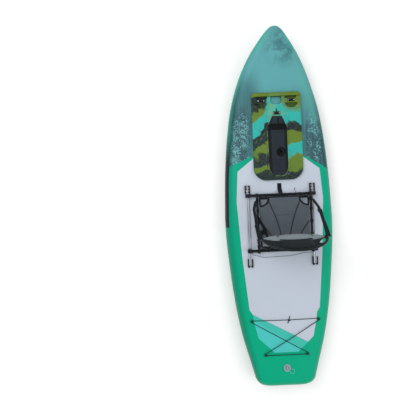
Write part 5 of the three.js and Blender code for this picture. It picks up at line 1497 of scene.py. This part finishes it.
anchor_color = blend_colors(anchor_height.ramp(deck_top + 0.0105, deck_top + 0.013), linear(0, 140, 108),
                            linear(16, 40, 38))
grained(anchor_tree, anchor_shader, anchor_color, 1800.0, 0.2, 0.3, 0.0003)
for place_name in ("front_left", "front_right", "rear_left", "rear_right"):
    dressed_piece(f"bungee_loop_{place_name}", f"bungee_anchor_{place_name}", 0.0011, 3, "hull", "rubber",
                  green_rubber)
dressed_piece("cord_lock_body", "cord_lock", 0.003, 4, "hull", "black_plastic", black_plastic)
lock_button = band_mesh("button", (lock_x, front_y, 0.2225), (0, 0, 1), 0.0001, 0.0052, 0.006, 24, 0.3)
make_piece("cord_lock_button", lock_button, "hull", "black_plastic", black_plastic)
tails = []
for lean_x, lean_y in ((0.009, 0.030), (-0.009, -0.026)):
    tail_path = [(lock_x, front_y, 0.2135), (lock_x + lean_x * 0.35, front_y + lean_y * 0.4, 0.2120),
                 (lock_x + lean_x, front_y + lean_y, 0.2086)]
    tail_path = smooth_path(tail_path, 6)
    tails.append(tube_mesh("tail", tail_path, 0.0028, 10))
    heading = tail_path[-1] - tail_path[-3]
    tails.append(band_mesh("knot", tail_path[-1], heading, 0.0001, 0.0044, 0.007, 16, 0.4))
make_piece("bungee_tails", joined_mesh("tails", *tails), "hull", "cord", braid)


# Inflation valve: a grey plastic cup in the deck with a bayonet cap, and a soft white tether on it.
# Turning the cap's grip uncovers a sprung stem that lets air in.
valve_plastic, valve_tree, valve_shader = new_material("valve_plastic", 0.42)
valve_place = object_place(valve_tree)
valve_color = blend_colors(noise_at(valve_place, 60.0, 5.0), linear(140, 156, 164), linear(170, 182, 190))
from_valve = add_node(valve_tree, "ShaderNodeVectorMath", {0: valve_place, 1: (0.0, valve_y, 0.2043)},
                      operation="DISTANCE")
from_valve = Value(from_valve.outputs["Value"])
# painted shade: a darker ring in the cap's groove and another round its grip
groove_ring = from_valve.ramp(0.0185, 0.0195) * from_valve.ramp(0.0228, 0.0218)
grip_ring = from_valve.ramp(0.0095, 0.0105) * from_valve.ramp(0.0145, 0.0135)
painted_ring_shade = groove_ring.math("MAXIMUM", grip_ring) * 0.7
valve_color = blend_colors(painted_ring_shade, valve_color, linear(72, 90, 96))
grained(valve_tree, valve_shader, valve_color, 2600.0, 0.2, 0.3, 0.0002)
dressed_piece("valve_cup", "valve_body", 0.0008, 2, "hull", "valve_plastic", valve_plastic)
dressed_piece("valve_cap_moulding", "valve_cap", 0.0010, 3, "cap", "valve_plastic", valve_plastic)
dress_node("valve_stem", valve_plastic)
spring_foot, spring_top = 0.1663, 0.1826
coil_radius, wire_radius = 0.0059, 0.00065
coil_path = []
for i in range(97):
    turn = i / 96 * 6 * 2 * math.pi
    rise = min(max((i / 96 - 0.06) / 0.88, 0.0), 1.0)
    coil_path.append((coil_radius * math.cos(turn), valve_y + coil_radius * math.sin(turn),
                      spring_foot + 0.0007 + rise * (spring_top - spring_foot - 0.0014)))
spring_coil = make_piece("valve_spring_coil", tube_mesh("coil", coil_path, wire_radius, 8), "hull", "steel",
                         steel, "valve_spring")
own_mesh(spring_coil)
knurls = []
stud_reach = 0.0262
for i in range(12):
    turn = 2 * math.pi * i / 12
    spot = Vector((stud_reach * math.cos(turn), valve_y + stud_reach * math.sin(turn), 0.2042))
    knurls.append(band_mesh("knurl", spot, (0, 0, 1), 0.0001, 0.0022, 0.0022, 12, 0.3))
make_piece("valve_flange_studs", joined_mesh("knurls", *knurls), "hull", "valve_plastic", valve_plastic)
soft_white = mottled_material("soft_white_tether", 0.55, (90.0, 4.0),
                              (linear(104, 206, 174), linear(150, 224, 200)), (2400.0, 0.1, 0.2, 0.0002))
cap_reach = 0.033
tether_radius = 0.0013
loop_radius = 0.021
# the loop starts a hair beside the cap, and its heading is measured round the valve
tether_start = cap_reach + tether_radius + 0.0003
heading = -0.2 * math.pi
tether_path = []
for i in range(33):
    turn = (-0.86 + 1.72 * i / 32) * math.pi
    outward = tether_start + loop_radius * (1 + math.cos(turn))
    sideways = loop_radius * math.sin(turn)
    tether_path.append((outward * math.cos(heading) - sideways * math.sin(heading),
                        valve_y + outward * math.sin(heading) + sideways * math.cos(heading), 0.2016))
make_piece("cap_tether", tube_mesh("tether", tether_path, tether_radius, 10), "hull", "tether", soft_white,
           "valve_tether")
